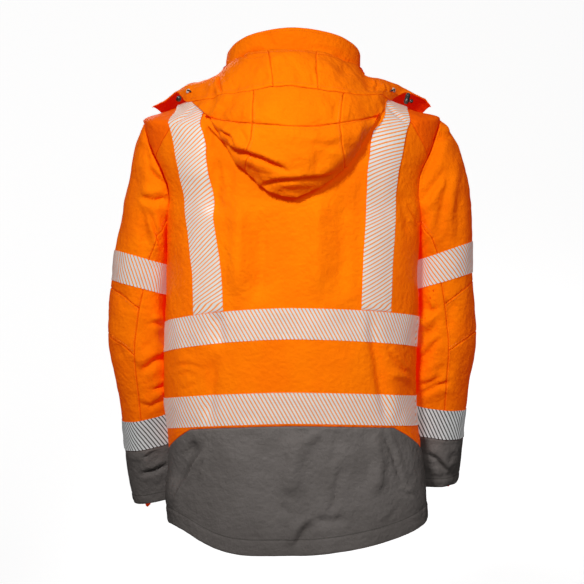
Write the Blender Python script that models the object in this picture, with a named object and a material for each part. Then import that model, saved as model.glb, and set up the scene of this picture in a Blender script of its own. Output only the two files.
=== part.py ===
"""Hi-vis work jacket with its hood thrown back, kept in its filled-out worn form.

Metres, +Z up. The front faces -Y and the wearer's left is +X. The origin lies
between the shoulders at the base of the neck. Every cloth piece is a thin wall
whose outer face follows one shared body, sleeve, collar or hood surface, so
pieces that meet at a seam end on the same line, a sewing gap apart.
"""
import math

import bpy
import numpy as np

for leftover in list(bpy.data.objects):
    bpy.data.objects.remove(leftover, do_unlink=True)

# Cloth, seams and tape
WALL = 0.0015
COLLAR_WALL = 0.0030
HOOD_WALL = 0.0015
TAPE_WALL = 0.0010
SEAM_GAP = 0.0003
TAPE_LIFT = 0.0003
BRACE_LIFT = 0.0012
TAPE_WIDTH = 0.050

# Grid sizes
BACK_CELLS = 20
FRONT_CELLS = 10
ARMHOLE_POINTS = 20
YOKE_BACK_POINT = 4
YOKE_FRONT_POINT = -3

# The body from hem to neck. Level 7 is the armpit, 11 the shoulder point and 14 the
# neck seam; 2 to 3 is the waist tape and 4 to 5 the chest tape.
BODY_HEADER = ("level", "left", "right", "back", "front", "z_left", "z_right", "z_back", "z_front",
               "square")
BODY_ROWS = (
    (0.0, 0.2095, 0.2285, 0.139, 0.139, -0.7215, -0.7130, -0.7655, -0.740, 2.6),
    (0.5, 0.2122, 0.2265, 0.139, 0.139, -0.6800, -0.6740, -0.7140, -0.694, 2.6),
    (1.0, 0.2070, 0.2220, 0.139, 0.138, -0.6380, -0.6340, -0.6600, -0.648, 2.6),
    (1.6, 0.2062, 0.2150, 0.139, 0.137, -0.5960, -0.5930, -0.5980, -0.592, 2.6),
    (2.0, 0.2066, 0.2085, 0.139, 0.136, -0.5670, -0.5620, -0.5520, -0.560, 2.6),
    (3.0, 0.2108, 0.2062, 0.140, 0.136, -0.5170, -0.5125, -0.5020, -0.510, 2.6),
    (4.0, 0.2116, 0.2073, 0.142, 0.138, -0.4405, -0.4310, -0.4160, -0.430, 2.6),
    (5.0, 0.2116, 0.2105, 0.144, 0.139, -0.3905, -0.3810, -0.3660, -0.380, 2.6),
    (6.0, 0.2085, 0.2110, 0.146, 0.140, -0.3050, -0.3050, -0.3000, -0.305, 2.6),
    (7.0, 0.2080, 0.2120, 0.147, 0.140, -0.2350, -0.2350, -0.2350, -0.235, 2.6),
    (8.0, 0.2090, 0.2130, 0.147, 0.138, -0.1900, -0.1900, -0.1950, -0.200, 2.6),
    (9.0, 0.2235, 0.2210, 0.146, 0.132, -0.1450, -0.1450, -0.1550, -0.168, 2.6),
    (10.0, 0.2425, 0.2400, 0.141, 0.125, -0.1000, -0.1000, -0.1180, -0.138, 2.5),
    (11.0, 0.2485, 0.2475, 0.132, 0.117, -0.0550, -0.0500, -0.0840, -0.112, 2.5),
    (12.0, 0.2030, 0.2030, 0.119, 0.109, -0.0370, -0.0370, -0.0500, -0.090, 2.4),
    (13.0, 0.1550, 0.1540, 0.104, 0.101, -0.0200, -0.0200, -0.0180, -0.070, 2.3),
    (14.0, 0.1110, 0.1090, 0.089, 0.094, -0.0030, -0.0030, 0.0110, -0.052, 2.2),
)
# The back hem's curve: on the left it drops between two shares of the way round to the
# middle, on the right it drops as a power of that share. It fades out above the fade level
HEM_LEFT_START = 0.17
HEM_LEFT_END = 0.93
HEM_RIGHT_POWER = 1.05
HEM_FADE_LEVEL = 1.6
HEM = 0.0
WAIST_TAPE = (2.0, 3.0)
CHEST_TAPE = (4.0, 5.0)
ARMPIT = 7.0
ARMHOLE_MIDDLE = 9.0
NECK = 14.0

# Seams on the body, as turns from the side line in degrees
SIDE_SEAM_LEFT = 4.0
SIDE_SEAM_RIGHT = 15.0
ARMHOLE_BACK = 24.0
ARMHOLE_FRONT = 27.0
YOKE_HEADER = ("level", "turn")
YOKE_BACK_ROWS = ((9.618, 22.83), (10.2, 33.0), (10.8, 40.5), (11.6, 44.0), (12.6, 45.5), (14.0, 47.0))
YOKE_FRONT_ROWS = ((10.176, 21.84), (10.5, 28.0), (11.0, 34.0), (11.8, 39.0), (12.8, 43.0), (14.0, 46.0))
YOKE_STEPS = 7

# The grey hem panels reach the waist tape and dip at the side seams
PANEL_TOP = 1.95
PANEL_DIP = 0.55
PANEL_DIP_TURN = 42.0
PANEL_DIP_POWER = 0.9

# Sleeves: outer and inner points of each section; stations 6 to 7 and 12 to 13 are tapes
SLEEVE_HEADER = ("station", "out_x", "out_z", "in_x", "in_z", "mid_y", "half_y", "pitch")
LEFT_SLEEVE_ROWS = (
    (1.0, 0.254, -0.068, 0.213, -0.245, -0.004, 0.066, 0.00),
    (2.0, 0.262, -0.098, 0.213, -0.256, -0.009, 0.071, 0.00),
    (3.0, 0.271, -0.140, 0.213, -0.266, -0.015, 0.075, 0.00),
    (4.0, 0.282, -0.185, 0.212, -0.275, -0.022, 0.078, 0.00),
    (5.0, 0.290, -0.228, 0.211, -0.284, -0.028, 0.079, 0.00),
    (6.0, 0.298, -0.269, 0.211, -0.294, -0.034, 0.079, 0.00),
    (7.0, 0.305, -0.319, 0.213, -0.344, -0.040, 0.077, 0.00),
    (8.0, 0.310, -0.360, 0.214, -0.384, -0.043, 0.074, 0.00),
    (9.0, 0.311, -0.406, 0.214, -0.425, -0.046, 0.070, -0.04),
    (10.0, 0.306, -0.454, 0.212, -0.464, -0.052, 0.066, -0.08),
    (11.0, 0.299, -0.504, 0.209, -0.501, -0.060, 0.062, -0.10),
    (12.0, 0.293, -0.559, 0.205, -0.539, -0.072, 0.057, -0.12),
    (13.0, 0.288, -0.606, 0.198, -0.586, -0.084, 0.053, -0.14),
    (14.0, 0.283, -0.653, 0.191, -0.633, -0.097, 0.050, -0.15),
    (15.0, 0.275, -0.701, 0.187, -0.682, -0.110, 0.047, -0.15),
)
RIGHT_SLEEVE_ROWS = (
    (1.0, 0.262, -0.064, 0.217, -0.245, -0.004, 0.066, 0.00),
    (2.0, 0.276, -0.089, 0.216, -0.255, -0.009, 0.071, 0.00),
    (3.0, 0.288, -0.122, 0.215, -0.264, -0.015, 0.075, 0.00),
    (4.0, 0.296, -0.160, 0.215, -0.271, -0.022, 0.078, 0.00),
    (5.0, 0.301, -0.205, 0.214, -0.279, -0.028, 0.079, 0.00),
    (6.0, 0.304, -0.254, 0.214, -0.286, -0.034, 0.079, 0.00),
    (7.0, 0.308, -0.306, 0.213, -0.334, -0.040, 0.077, 0.00),
    (8.0, 0.311, -0.356, 0.213, -0.376, -0.043, 0.074, 0.00),
    (9.0, 0.312, -0.402, 0.210, -0.417, -0.046, 0.070, -0.04),
    (10.0, 0.309, -0.446, 0.207, -0.454, -0.052, 0.066, -0.08),
    (11.0, 0.303, -0.492, 0.205, -0.490, -0.060, 0.062, -0.10),
    (12.0, 0.300, -0.538, 0.203, -0.526, -0.072, 0.057, -0.12),
    (13.0, 0.296, -0.585, 0.202, -0.573, -0.084, 0.053, -0.14),
    (14.0, 0.293, -0.629, 0.202, -0.619, -0.097, 0.050, -0.15),
    (15.0, 0.286, -0.668, 0.199, -0.664, -0.110, 0.047, -0.15),
)
UPPER_TAPE = (6.0, 7.0)
LOWER_TAPE = (12.0, 13.0)
CUFF = 15.0
SLEEVE_SQUARE = 2.1
SLEEVE_INNER_SQUARE = 3.4
ELBOW_TOP = 7.30
ELBOW_END = 9.05
ELBOW_DIP = 0.55

# Turn of the back and front sleeve seams down the arm, in degrees from the outer line
SEAM_HEADER = ("station", "back", "front")
SLEEVE_SEAM_ROWS = (
    (0.0, 144.0, 144.0),
    (3.0, 128.0, 134.0),
    (6.0, 112.0, 126.0),
    (8.0, 98.0, 122.0),
    (10.0, 86.0, 120.0),
    (15.0, 80.0, 118.0),
)
OUTER_COLUMNS = 8

# Collar: top ring above the neck seam
COLLAR_TOP_LEFT = 0.1085
COLLAR_TOP_RIGHT = 0.1150
COLLAR_TOP_BACK = 0.0860
COLLAR_TOP_FRONT = 0.0990
COLLAR_Z_SIDE = 0.0585
COLLAR_Z_BACK = 0.0930
COLLAR_Z_FRONT = 0.0150
COLLAR_SQUARE = 2.2
COLLAR_CROWN = 1.4
COLLAR_BOW = 0.0020
COLLAR_RISE = 0.0005
COLLAR_ROWS = 3
COLLAR_CELLS = 30

# Hood: mouth edge, crest and first cross seam, from the left wing tip to the right one
BRIM_HEADER = ("station", "mouth_x", "mouth_y", "mouth_z", "crest_x", "crest_y", "crest_z",
               "seam_x", "seam_y", "seam_z")
BRIM_ROWS = (
    (0.0, 0.2170, -0.036, -0.0410, 0.2270, -0.014, -0.0320, 0.2350, 0.002, -0.0290),
    (1.0, 0.2060, -0.050, -0.0350, 0.2110, -0.022, -0.0205, 0.2130, 0.005, -0.0165),
    (2.0, 0.1900, -0.060, -0.0290, 0.1935, -0.020, -0.0060, 0.1925, 0.018, -0.0065),
    (3.0, 0.1680, -0.064, -0.0230, 0.1720, 0.008, 0.0070, 0.1733, 0.058, -0.0265),
    (4.0, 0.1400, -0.056, -0.0080, 0.1420, 0.022, 0.0150, 0.1440, 0.096, -0.0255),
    (5.0, 0.1230, -0.022, 0.0110, 0.1210, 0.036, 0.0240, 0.1180, 0.120, -0.0220),
    (6.0, 0.1125, 0.032, 0.0310, 0.1050, 0.070, 0.0340, 0.0917, 0.143, -0.0197),
    (7.0, 0.0760, 0.083, 0.0450, 0.0720, 0.112, 0.0380, 0.0591, 0.161, -0.0155),
    (8.0, 0.0380, 0.108, 0.0520, 0.0350, 0.138, 0.0410, 0.0287, 0.170, -0.0117),
    (9.0, 0.0000, 0.114, 0.0538, 0.0000, 0.144, 0.0430, 0.0000, 0.172, -0.0119),
    (10.0, -0.0400, 0.107, 0.0500, -0.0400, 0.136, 0.0390, -0.0414, 0.170, -0.0165),
    (11.0, -0.0760, 0.083, 0.0410, -0.0760, 0.112, 0.0340, -0.0767, 0.161, -0.0203),
    (12.0, -0.1155, 0.032, 0.0290, -0.1085, 0.068, 0.0310, -0.1060, 0.143, -0.0207),
    (13.0, -0.1245, -0.022, 0.0100, -0.1235, 0.036, 0.0195, -0.1296, 0.119, -0.0192),
    (14.0, -0.1400, -0.056, -0.0080, -0.1430, 0.022, 0.0165, -0.1480, 0.096, -0.0170),
    (15.0, -0.1720, -0.064, -0.0230, -0.1756, 0.008, 0.0080, -0.1640, 0.060, -0.0245),
    (16.0, -0.1900, -0.060, -0.0290, -0.1940, -0.020, -0.0030, -0.1910, 0.020, -0.0050),
    (17.0, -0.2060, -0.050, -0.0350, -0.2120, -0.022, -0.0185, -0.2180, 0.005, -0.0140),
    (18.0, -0.2170, -0.036, -0.0410, -0.2270, -0.014, -0.0315, -0.2345, 0.002, -0.0280),
)
HOOD_LEFT_END = 3.25
HOOD_RIGHT_END = 14.75

# Hood: second cross seam and the lower edge that rests on the back
HOOD_HEADER = ("station", "seam_x", "seam_y", "seam_z", "edge_x", "edge_z")
HOOD_ROWS = (
    (3.25, 0.1375, 0.121, -0.0540, 0.1290, -0.0660),
    (4.00, 0.1270, 0.132, -0.0600, 0.1200, -0.0780),
    (5.00, 0.1074, 0.152, -0.0658, 0.1110, -0.0980),
    (6.00, 0.0880, 0.170, -0.0690, 0.1000, -0.1140),
    (7.00, 0.0600, 0.186, -0.0725, 0.0700, -0.1500),
    (8.00, 0.0320, 0.196, -0.0752, 0.0400, -0.1740),
    (9.00, 0.0000, 0.200, -0.0776, -0.0030, -0.1880),
    (10.00, -0.0380, 0.197, -0.0765, -0.0420, -0.1700),
    (11.00, -0.0700, 0.187, -0.0730, -0.0760, -0.1480),
    (12.00, -0.0960, 0.171, -0.0680, -0.0980, -0.1240),
    (13.00, -0.1180, 0.151, -0.0625, -0.1130, -0.1000),
    (14.00, -0.1350, 0.131, -0.0570, -0.1230, -0.0840),
    (14.75, -0.1450, 0.120, -0.0530, -0.1330, -0.0680),
)
HOOD_SEAM_STATIONS = (6.9, 11.2)
HOOD_EDGE_LIFT = 0.0102
CROWN_BULGE = 0.022
BAND_BULGE = 0.006
NAPE_LIFT = 0.0084
NAPE_TOP_LEVEL = 13.93
NAPE_TURN = 12.0
NAPE_CELLS = 14
HOOD_CELLS = 6
WING_CELLS = 5
BRIM_CELLS = 4
BAND_CELLS = 2
CROWN_CELLS = 4

# Braces: centre line up the back, over the shoulder and down the front
BRACE_HEADER = ("x", "y", "z")
LEFT_BRACE_BACK = ((0.137, 0.0, -0.370), (0.1385, 0.0, -0.318), (0.145, 0.0, -0.270),
                   (0.154, 0.0, -0.217), (0.159, 0.0, -0.170), (0.1635, 0.0, -0.125),
                   (0.1675, 0.0, -0.090), (0.169, 0.0, -0.060))
RIGHT_BRACE_BACK = ((-0.138, 0.0, -0.370), (-0.140, 0.0, -0.310), (-0.1415, 0.0, -0.270),
                    (-0.145, 0.0, -0.220), (-0.1465, 0.0, -0.180), (-0.1505, 0.0, -0.122),
                    (-0.156, 0.0, -0.075), (-0.158, 0.0, -0.050))
BRACE_TOP = ((0.162, 0.060, 0.0), (0.158, 0.020, 0.0), (0.154, -0.020, 0.0), (0.149, -0.055, 0.0))
BRACE_FRONT = ((0.146, 0.0, -0.090), (0.142, 0.0, -0.140), (0.139, 0.0, -0.205),
               (0.137, 0.0, -0.280), (0.136, 0.0, -0.383))
BRACE_WIDTH = 0.054
BRACE_CLEAR = 0.012
BRACE_SHOULDER_LIFT = 0.0022
BRACE_SHOULDER_LEVEL = 9.0
BRACE_FINE_STEP = 0.013
BRACE_STEP = 0.020
BRACE_CELLS = 2

# Zip
ZIP_HALF_GAP = 0.0046
ZIP_TAPE_HALF = 0.0140
ZIP_TAPE_WALL = 0.0010
ZIP_TAPE_LIFT = 0.0006
ZIP_BODY_SHARE = 0.90
ZIP_SINK_START = 12.4
ZIP_SINK_END = 13.4
ZIP_COLLAR_CLEAR = 0.0014
ZIP_ROWS = 30
CHAIN_HALF = 0.0030
CHAIN_DEPTH = 0.0018
CHAIN_STOP = 0.962
SHARE_SLACK = 0.001
SLIDER_SHARE = 0.974
SLIDER_BACK = -0.0002
SLIDER_WIDTH = 0.0080
SLIDER_HEIGHT = 0.0100
SLIDER_DEPTH = 0.0050
LUG_WIDTH = 0.0012
LUG_REACH = 0.0032
PIN_RADIUS = 0.0006
PULL_LENGTH = 0.0280
PULL_WIDTH = 0.0040
PULL_WALL = 0.0012
PULL_EYE = 0.0011
PULL_RING = 0.0019
PULL_SIDE_GAP = 0.0004

# Cord trims on the hood wings
EYELET_STATION = 3.1
EYELET_SHARE = 0.84
EYELET_RADIUS = 0.0042
EYELET_HOLE = 0.0020
EYELET_HEIGHT = 0.0010
EYELET_LIFT = 0.0012
LOCK_TOPS = {"l": (0.1864, 0.0520, -0.0186), "r": (-0.1930, 0.0460, -0.0110)}
LOCK_LEANS = {"l": (0.15, -1.0, -0.10), "r": (0.27, 0.10, -1.0)}
LOCK_RADIUS = 0.0042
LOCK_LENGTH = 0.0180
KNOB_CENTRE = (-0.1970, 0.0550, -0.0246)
KNOB_RADIUS = 0.0034

# Cuff tabs on the front of the cuffs, and the ends of the inner cuff that show below them
CUFF_TAB_STATIONS = (14.15, 14.75)
CUFF_TAB_START = {"l": -6.0, "r": 6.0}
CUFF_TAB_END = -100.0
CUFF_TAB_CELLS = 14
CUFF_TAB_LIFT = 0.0004
CUFF_TAG_INSET = 0.0030
CUFF_TAG_TOP = 14.5
CUFF_TAG_TURNS = {"l": (58.0, 72.0), "r": (42.0, 48.0)}
CUFF_TAG_DROP = {"l": 0.0085, "r": 0.0045}

ORANGE = (0.95, 0.22, 0.01)
DEEP_ORANGE = (0.90, 0.16, 0.01)
GREY = (0.095, 0.085, 0.078)
SILVER = (0.62, 0.60, 0.58)
BLACK = (0.015, 0.014, 0.014)
METAL = (0.55, 0.55, 0.56)


class Table:
    """Named columns over a first key column, read by a smooth curve that never overshoots."""

    def __init__(self, header, rows):
        grid = np.array(rows, dtype=float)
        self.keys = grid[:, 0]
        self.columns = {name: grid[:, index] for index, name in enumerate(header)}
        self.slopes = {name: self._slopes(column) for name, column in self.columns.items()}

    def _slopes(self, column):
        rise = np.diff(column) / np.diff(self.keys)
        slopes = np.empty_like(column)
        slopes[0] = rise[0]
        slopes[-1] = rise[-1]
        product = rise[:-1] * rise[1:]
        total = rise[:-1] + rise[1:]
        safe = np.where(product > 0.0, total, 1.0)
        slopes[1:-1] = np.where(product > 0.0, 2.0 * product / safe, 0.0)
        return slopes

    def at(self, name, key):
        """Value of one column at a key or an array of keys."""
        key = np.clip(np.asarray(key, dtype=float), self.keys[0], self.keys[-1])
        span = np.clip(np.searchsorted(self.keys, key, side="right") - 1, 0, len(self.keys) - 2)
        width = self.keys[span + 1] - self.keys[span]
        part = (key - self.keys[span]) / width
        column = self.columns[name]
        slopes = self.slopes[name]
        rising = (2.0 * part ** 3 - 3.0 * part ** 2 + 1.0) * column[span]
        rising += (part ** 3 - 2.0 * part ** 2 + part) * width * slopes[span]
        rising += (3.0 * part ** 2 - 2.0 * part ** 3) * column[span + 1]
        rising += (part ** 3 - part ** 2) * width * slopes[span + 1]
        return rising

    def point(self, prefix, key):
        """Three columns named prefix_x, prefix_y and prefix_z as points."""
        return np.stack([self.at(prefix + axis, key) for axis in ("_x", "_y", "_z")], axis=-1)


BODY = Table(BODY_HEADER, BODY_ROWS)
YOKE_BACK = Table(YOKE_HEADER, YOKE_BACK_ROWS)
YOKE_FRONT = Table(YOKE_HEADER, YOKE_FRONT_ROWS)
SEAMS = Table(SEAM_HEADER, SLEEVE_SEAM_ROWS)
SLEEVES = {1: Table(SLEEVE_HEADER, LEFT_SLEEVE_ROWS), -1: Table(SLEEVE_HEADER, RIGHT_SLEEVE_ROWS)}
BRIM = Table(BRIM_HEADER, BRIM_ROWS)
HOOD = Table(HOOD_HEADER, HOOD_ROWS)


def unit(vectors):
    """Vectors scaled to length one."""
    length = np.linalg.norm(vectors, axis=-1, keepdims=True)
    return vectors / np.maximum(length, 1e-12)


def superellipse(cosine, sine, square):
    """Reach of a rounded-square ring of radius one in a direction."""
    return (np.abs(cosine) ** square + np.abs(sine) ** square) ** (-1.0 / square)


def hem_share(share, cosine):
    """Share of the back hem's drop, from 0 at the side to 1 at the middle of the back."""
    eased = np.clip((share - HEM_LEFT_START) / (HEM_LEFT_END - HEM_LEFT_START), 0.0, 1.0)
    left = eased ** 2 * (3.0 - 2.0 * eased)
    return np.where(cosine > 0.0, left, share ** HEM_RIGHT_POWER)


def ring_point(turn, level):
    """Outer face of the body: turn runs from the left side over the back, level from hem to neck."""
    turn = np.asarray(turn, dtype=float)
    level = np.asarray(level, dtype=float)
    cosine = np.cos(turn)
    sine = np.sin(turn)
    reach = superellipse(cosine, sine, BODY.at("square", level))
    side = np.where(cosine > 0.0, BODY.at("left", level), BODY.at("right", level))
    depth = np.where(sine > 0.0, BODY.at("back", level), BODY.at("front", level))
    edge = np.where(cosine > 0.0, BODY.at("z_left", level), BODY.at("z_right", level))
    middle = np.where(sine > 0.0, BODY.at("z_back", level), BODY.at("z_front", level))
    share = sine ** 2
    fade = np.where(sine > 0.0, np.clip(1.0 - level / HEM_FADE_LEVEL, 0.0, 1.0), 0.0)
    share = share + fade * (hem_share(share, cosine) - share)
    height = edge * (1.0 - share) + middle * share
    return np.stack([side * cosine * reach, depth * sine * reach, height], axis=-1)


def collar_point(turn, rise):
    """Outer face of the collar: rise runs from 0 at the neck seam to 1 at the top edge."""
    turn = np.asarray(turn, dtype=float)
    rise = np.asarray(rise, dtype=float)[..., None]
    base = ring_point(turn, np.full_like(turn, NECK)) + np.array([0.0, 0.0, COLLAR_RISE])
    cosine = np.cos(turn)
    sine = np.sin(turn)
    reach = superellipse(cosine, sine, COLLAR_SQUARE)
    side = np.where(cosine > 0.0, COLLAR_TOP_LEFT, COLLAR_TOP_RIGHT)
    depth = np.where(sine > 0.0, COLLAR_TOP_BACK, COLLAR_TOP_FRONT)
    middle = np.where(sine > 0.0, COLLAR_Z_BACK, COLLAR_Z_FRONT)
    top_z = COLLAR_Z_SIDE + (middle - COLLAR_Z_SIDE) * np.abs(sine) ** COLLAR_CROWN
    top = np.stack([side * cosine * reach, depth * sine * reach, top_z], axis=-1)
    outward = np.stack([cosine, sine, np.zeros_like(turn)], axis=-1)
    return base + (top - base) * rise + outward * COLLAR_BOW * 4.0 * rise * (1.0 - rise)


def surface_normals(surface, first, second, step=1e-3):
    """Unit normals of a two-way surface, from its own slopes."""
    along = surface(first + step, second) - surface(first - step, second)
    across = surface(first, second + step) - surface(first, second - step)
    return unit(np.cross(along, across))


def armhole_turn(phase):
    """Turn and level of an armhole point; phase 0 is the shoulder point and pi the armpit."""
    widest = np.where(np.sin(phase) > 0.0, ARMHOLE_BACK, ARMHOLE_FRONT)
    turn = np.radians(widest) * np.sin(phase)
    level = ARMHOLE_MIDDLE + (ARMHOLE_MIDDLE - ARMPIT) * np.cos(phase)
    return turn, level


def mirrored(turn, side):
    """A turn measured from the left side line, moved to the given side."""
    return turn if side > 0 else math.pi - turn


def armhole_points(side):
    """The armhole ring as points, in the order of the sleeve columns."""
    phase = 2.0 * math.pi * np.arange(ARMHOLE_POINTS) / ARMHOLE_POINTS
    turn, level = armhole_turn(phase)
    return ring_point(mirrored(turn, side), level), surface_normals(ring_point, mirrored(turn, side), level)


def column_turns(side, station):
    """Turn of every sleeve column at a station: seams sit at fixed columns."""
    back = math.radians(float(SEAMS.at("back", station)))
    front = math.radians(float(SEAMS.at("front", station)))
    under = ARMHOLE_POINTS - 2 * OUTER_COLUMNS
    turns = np.empty(ARMHOLE_POINTS)
    for column in range(ARMHOLE_POINTS):
        if column <= OUTER_COLUMNS:
            turns[column] = back * column / OUTER_COLUMNS
        elif column < OUTER_COLUMNS + under:
            part = (column - OUTER_COLUMNS) / under
            turns[column] = back + (2.0 * math.pi - front - back) * part
        else:
            turns[column] = 2.0 * math.pi - front * (ARMHOLE_POINTS - column) / OUTER_COLUMNS
    return turns


def sleeve_section(side, station, turns):
    """Points of a sleeve section at the given turns."""
    table = SLEEVES[side]
    outer = np.array([table.at("out_x", station), 0.0, table.at("out_z", station)])
    inner = np.array([table.at("in_x", station), 0.0, table.at("in_z", station)])
    centre = 0.5 * (outer + inner) + np.array([0.0, table.at("mid_y", station), 0.0])
    across = 0.5 * (outer - inner)
    half = float(table.at("half_y", station))
    depth = np.array([0.0, half, half * float(table.at("pitch", station))])
    cosine = np.cos(turns)
    sine = np.sin(turns)
    square = np.where(cosine < 0.0, SLEEVE_INNER_SQUARE, SLEEVE_SQUARE)
    reach = superellipse(cosine, sine, square)
    points = centre + np.outer(cosine * reach, across) + np.outer(sine * reach, depth)
    return points * np.array([side, 1.0, 1.0])


def sleeve_row(side, station):
    """Every column of the sleeve at one station; station 0 is the armhole itself."""
    if station >= 1.0:
        return sleeve_section(side, station, column_turns(side, station))
    armhole = armhole_points(side)[0]
    first = sleeve_section(side, 1.0, column_turns(side, 1.0))
    return armhole + (first - armhole) * station


def sleeve_grid(side, stations):
    """Points and outward normals for sleeve stations, one row of columns each."""
    rows = np.array([sleeve_row(side, station) for station in stations])
    ahead = np.array([sleeve_row(side, station + 0.05) for station in stations])
    behind = np.array([sleeve_row(side, max(station - 0.05, 0.0)) for station in stations])
    around = np.roll(rows, -1, axis=1) - np.roll(rows, 1, axis=1)
    down = ahead - behind
    normals = unit(np.cross(down, around)) * side
    return rows, normals


def edge_shift(points, normals, axis, index, closed_other):
    """Direction into the piece at one border of a grid, square to the border and the normal."""
    border = points.take(index, axis=axis)
    normal = normals.take(index, axis=axis)
    if closed_other:
        tangent = np.roll(border, -1, axis=0) - np.roll(border, 1, axis=0)
    else:
        tangent = np.gradient(border, axis=0)
    inside = points.take(index + (1 if index == 0 else -1), axis=axis) - border
    direction = unit(np.cross(unit(tangent), normal))
    sign = np.sign(np.sum(direction * inside, axis=-1, keepdims=True))
    return direction * sign


def make_mesh(name, vertices, faces, colour, roughness, metallic):
    """One named object with its own Principled material."""
    mesh = bpy.data.meshes.new(name)
    mesh.from_pydata([tuple(float(value) for value in vertex) for vertex in vertices], [], faces)
    mesh.validate()
    piece = bpy.data.objects.new(name, mesh)
    bpy.context.collection.objects.link(piece)
    material = bpy.data.materials.new(name)
    material.use_nodes = True
    shader = material.node_tree.nodes["Principled BSDF"]
    shader.inputs["Base Color"].default_value = (*colour, 1.0)
    shader.inputs["Roughness"].default_value = roughness
    shader.inputs["Metallic"].default_value = metallic
    piece.data.materials.append(material)
    return piece


def wall(name, points, normals, thickness, colour, lift=0.0, inward=True, closed=False,
         trims=("start", "end", "low", "high"), stretch=None, roughness=0.8):
    """A cloth wall from a grid of surface points.

    The wall lies just inside the surface, or stands on it by lift when inward is
    False. Borders named in trims move in by half the seam gap.
    """
    points = np.array(points, dtype=float)
    normals = np.array(normals, dtype=float)
    shift = np.zeros_like(points)
    half = 0.5 * SEAM_GAP
    if "low" in trims:
        shift[0] += half * edge_shift(points, normals, 0, 0, closed)
    if "high" in trims:
        shift[-1] += half * edge_shift(points, normals, 0, points.shape[0] - 1, closed)
    if not closed and "start" in trims:
        shift[:, 0] += half * edge_shift(points, normals, 1, 0, False)
    if not closed and "end" in trims:
        shift[:, -1] += half * edge_shift(points, normals, 1, points.shape[1] - 1, False)
    base = points + shift
    reach = np.ones(points.shape[:2]) if stretch is None else stretch
    if inward:
        outer = base
        inner = base - normals * thickness * reach[..., None]
    else:
        inner = base + normals * lift * reach[..., None]
        outer = base + normals * (lift + thickness) * reach[..., None]
    rows, columns = points.shape[:2]
    vertices = np.concatenate([outer.reshape(-1, 3), inner.reshape(-1, 3)])
    half_count = rows * columns
    spans = columns if closed else columns - 1

    def number(row, column):
        return row * columns + column % columns

    faces = []
    for row in range(rows - 1):
        for column in range(spans):
            a = number(row, column)
            b = number(row, column + 1)
            c = number(row + 1, column + 1)
            d = number(row + 1, column)
            faces += [(a, b, c), (a, c, d)]
            faces += [(a + half_count, c + half_count, b + half_count)]
            faces += [(a + half_count, d + half_count, c + half_count)]
    for column in range(spans):
        for row, flip in ((0, False), (rows - 1, True)):
            a = number(row, column)
            b = number(row, column + 1)
            quad = [(b, a, a + half_count), (b, a + half_count, b + half_count)]
            faces += [face[::-1] for face in quad] if flip else quad
    if not closed:
        for row in range(rows - 1):
            for column, flip in ((0, True), (columns - 1, False)):
                a = number(row, column)
                b = number(row + 1, column)
                quad = [(b, a, a + half_count), (b, a + half_count, b + half_count)]
                faces += [face[::-1] for face in quad] if flip else quad
    facing = np.cross(points[0, 1] - points[0, 0], points[1, 0] - points[0, 0])
    if float(np.dot(facing, normals[0, 0])) < 0.0:
        faces = [face[::-1] for face in faces]
    return make_mesh(name, vertices, faces, colour, roughness, 0.0)


def body_wall(name, turns, levels, colour, normals=None, stretch=None):
    """A body panel from grids of turns and levels."""
    points = ring_point(turns, levels)
    if normals is None:
        normals = surface_normals(ring_point, turns, levels)
    return wall(name, points, normals, WALL, colour, stretch=stretch)


def side_turn(level, side):
    """Turn of the side seam, from the side line towards the back, below the armpit."""
    widest = SIDE_SEAM_LEFT if side > 0 else SIDE_SEAM_RIGHT
    fade = np.clip((ARMPIT - level) / (ARMPIT - CHEST_TAPE[1]), 0.0, 1.0)
    return np.radians(widest) * fade


def panel_top(turn):
    """Level of the grey panel's upper seam: close under the waist tape, lower at the sides."""
    from_side = np.degrees(np.arcsin(np.clip(np.abs(np.sin(turn)), 0.0, 1.0)))
    dip = np.clip(1.0 - from_side / PANEL_DIP_TURN, 0.0, 1.0)
    return PANEL_TOP - PANEL_DIP * dip ** PANEL_DIP_POWER


def mitre(side):
    """Shared edge direction and length factor at the armhole seam for body and sleeve."""
    points, body_normals = armhole_points(side)
    next_row = sleeve_row(side, 0.3)
    around = np.roll(points, -1, axis=0) - np.roll(points, 1, axis=0)
    sleeve_normals = unit(np.cross(next_row - points, around)) * side
    shared = unit(body_normals + sleeve_normals)
    cosine = np.clip(np.sum(shared * body_normals, axis=-1), 0.6, 1.0)
    return shared, 1.0 / cosine


def edge_turns(levels, side, back):
    """Turn of the back or front panel's side border at each level."""
    turns = []
    yoke_point = YOKE_BACK_POINT if back else -YOKE_FRONT_POINT
    yoke_level = armhole_turn(2.0 * math.pi * yoke_point / ARMHOLE_POINTS)[1]
    for level in levels:
        if level <= ARMPIT:
            turns.append(float(side_turn(level, side)))
        elif level <= yoke_level + 1e-6:
            phase = math.acos(np.clip((level - ARMHOLE_MIDDLE) / (ARMHOLE_MIDDLE - ARMPIT), -1.0, 1.0))
            turns.append(float(armhole_turn(phase if back else -phase)[0]))
        else:
            table = YOKE_BACK if back else YOKE_FRONT
            turn = math.radians(float(table.at("turn", level)))
            turns.append(turn if back else -turn)
    return np.array(turns)


def upper_levels(back):
    """Levels of the orange panels above the grey seam: tapes, armhole points, then the yoke seam."""
    point = YOKE_BACK_POINT if back else -YOKE_FRONT_POINT
    half = ARMHOLE_POINTS // 2
    armhole = [float(armhole_turn(2.0 * math.pi * k / ARMHOLE_POINTS)[1])
               for k in range(half, point - 1, -1)]
    seam = np.linspace(armhole[-1], NECK, YOKE_STEPS + 1)[1:]
    return [*WAIST_TAPE, 3.5, *CHEST_TAPE, 5.7, 6.4, *armhole, *seam]


def back_turns(level):
    """Turns across the whole back at one level."""
    left = edge_turns([level], 1, True)[0]
    right = math.pi - edge_turns([level], -1, True)[0]
    return np.linspace(left, right, BACK_CELLS + 1)


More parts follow.
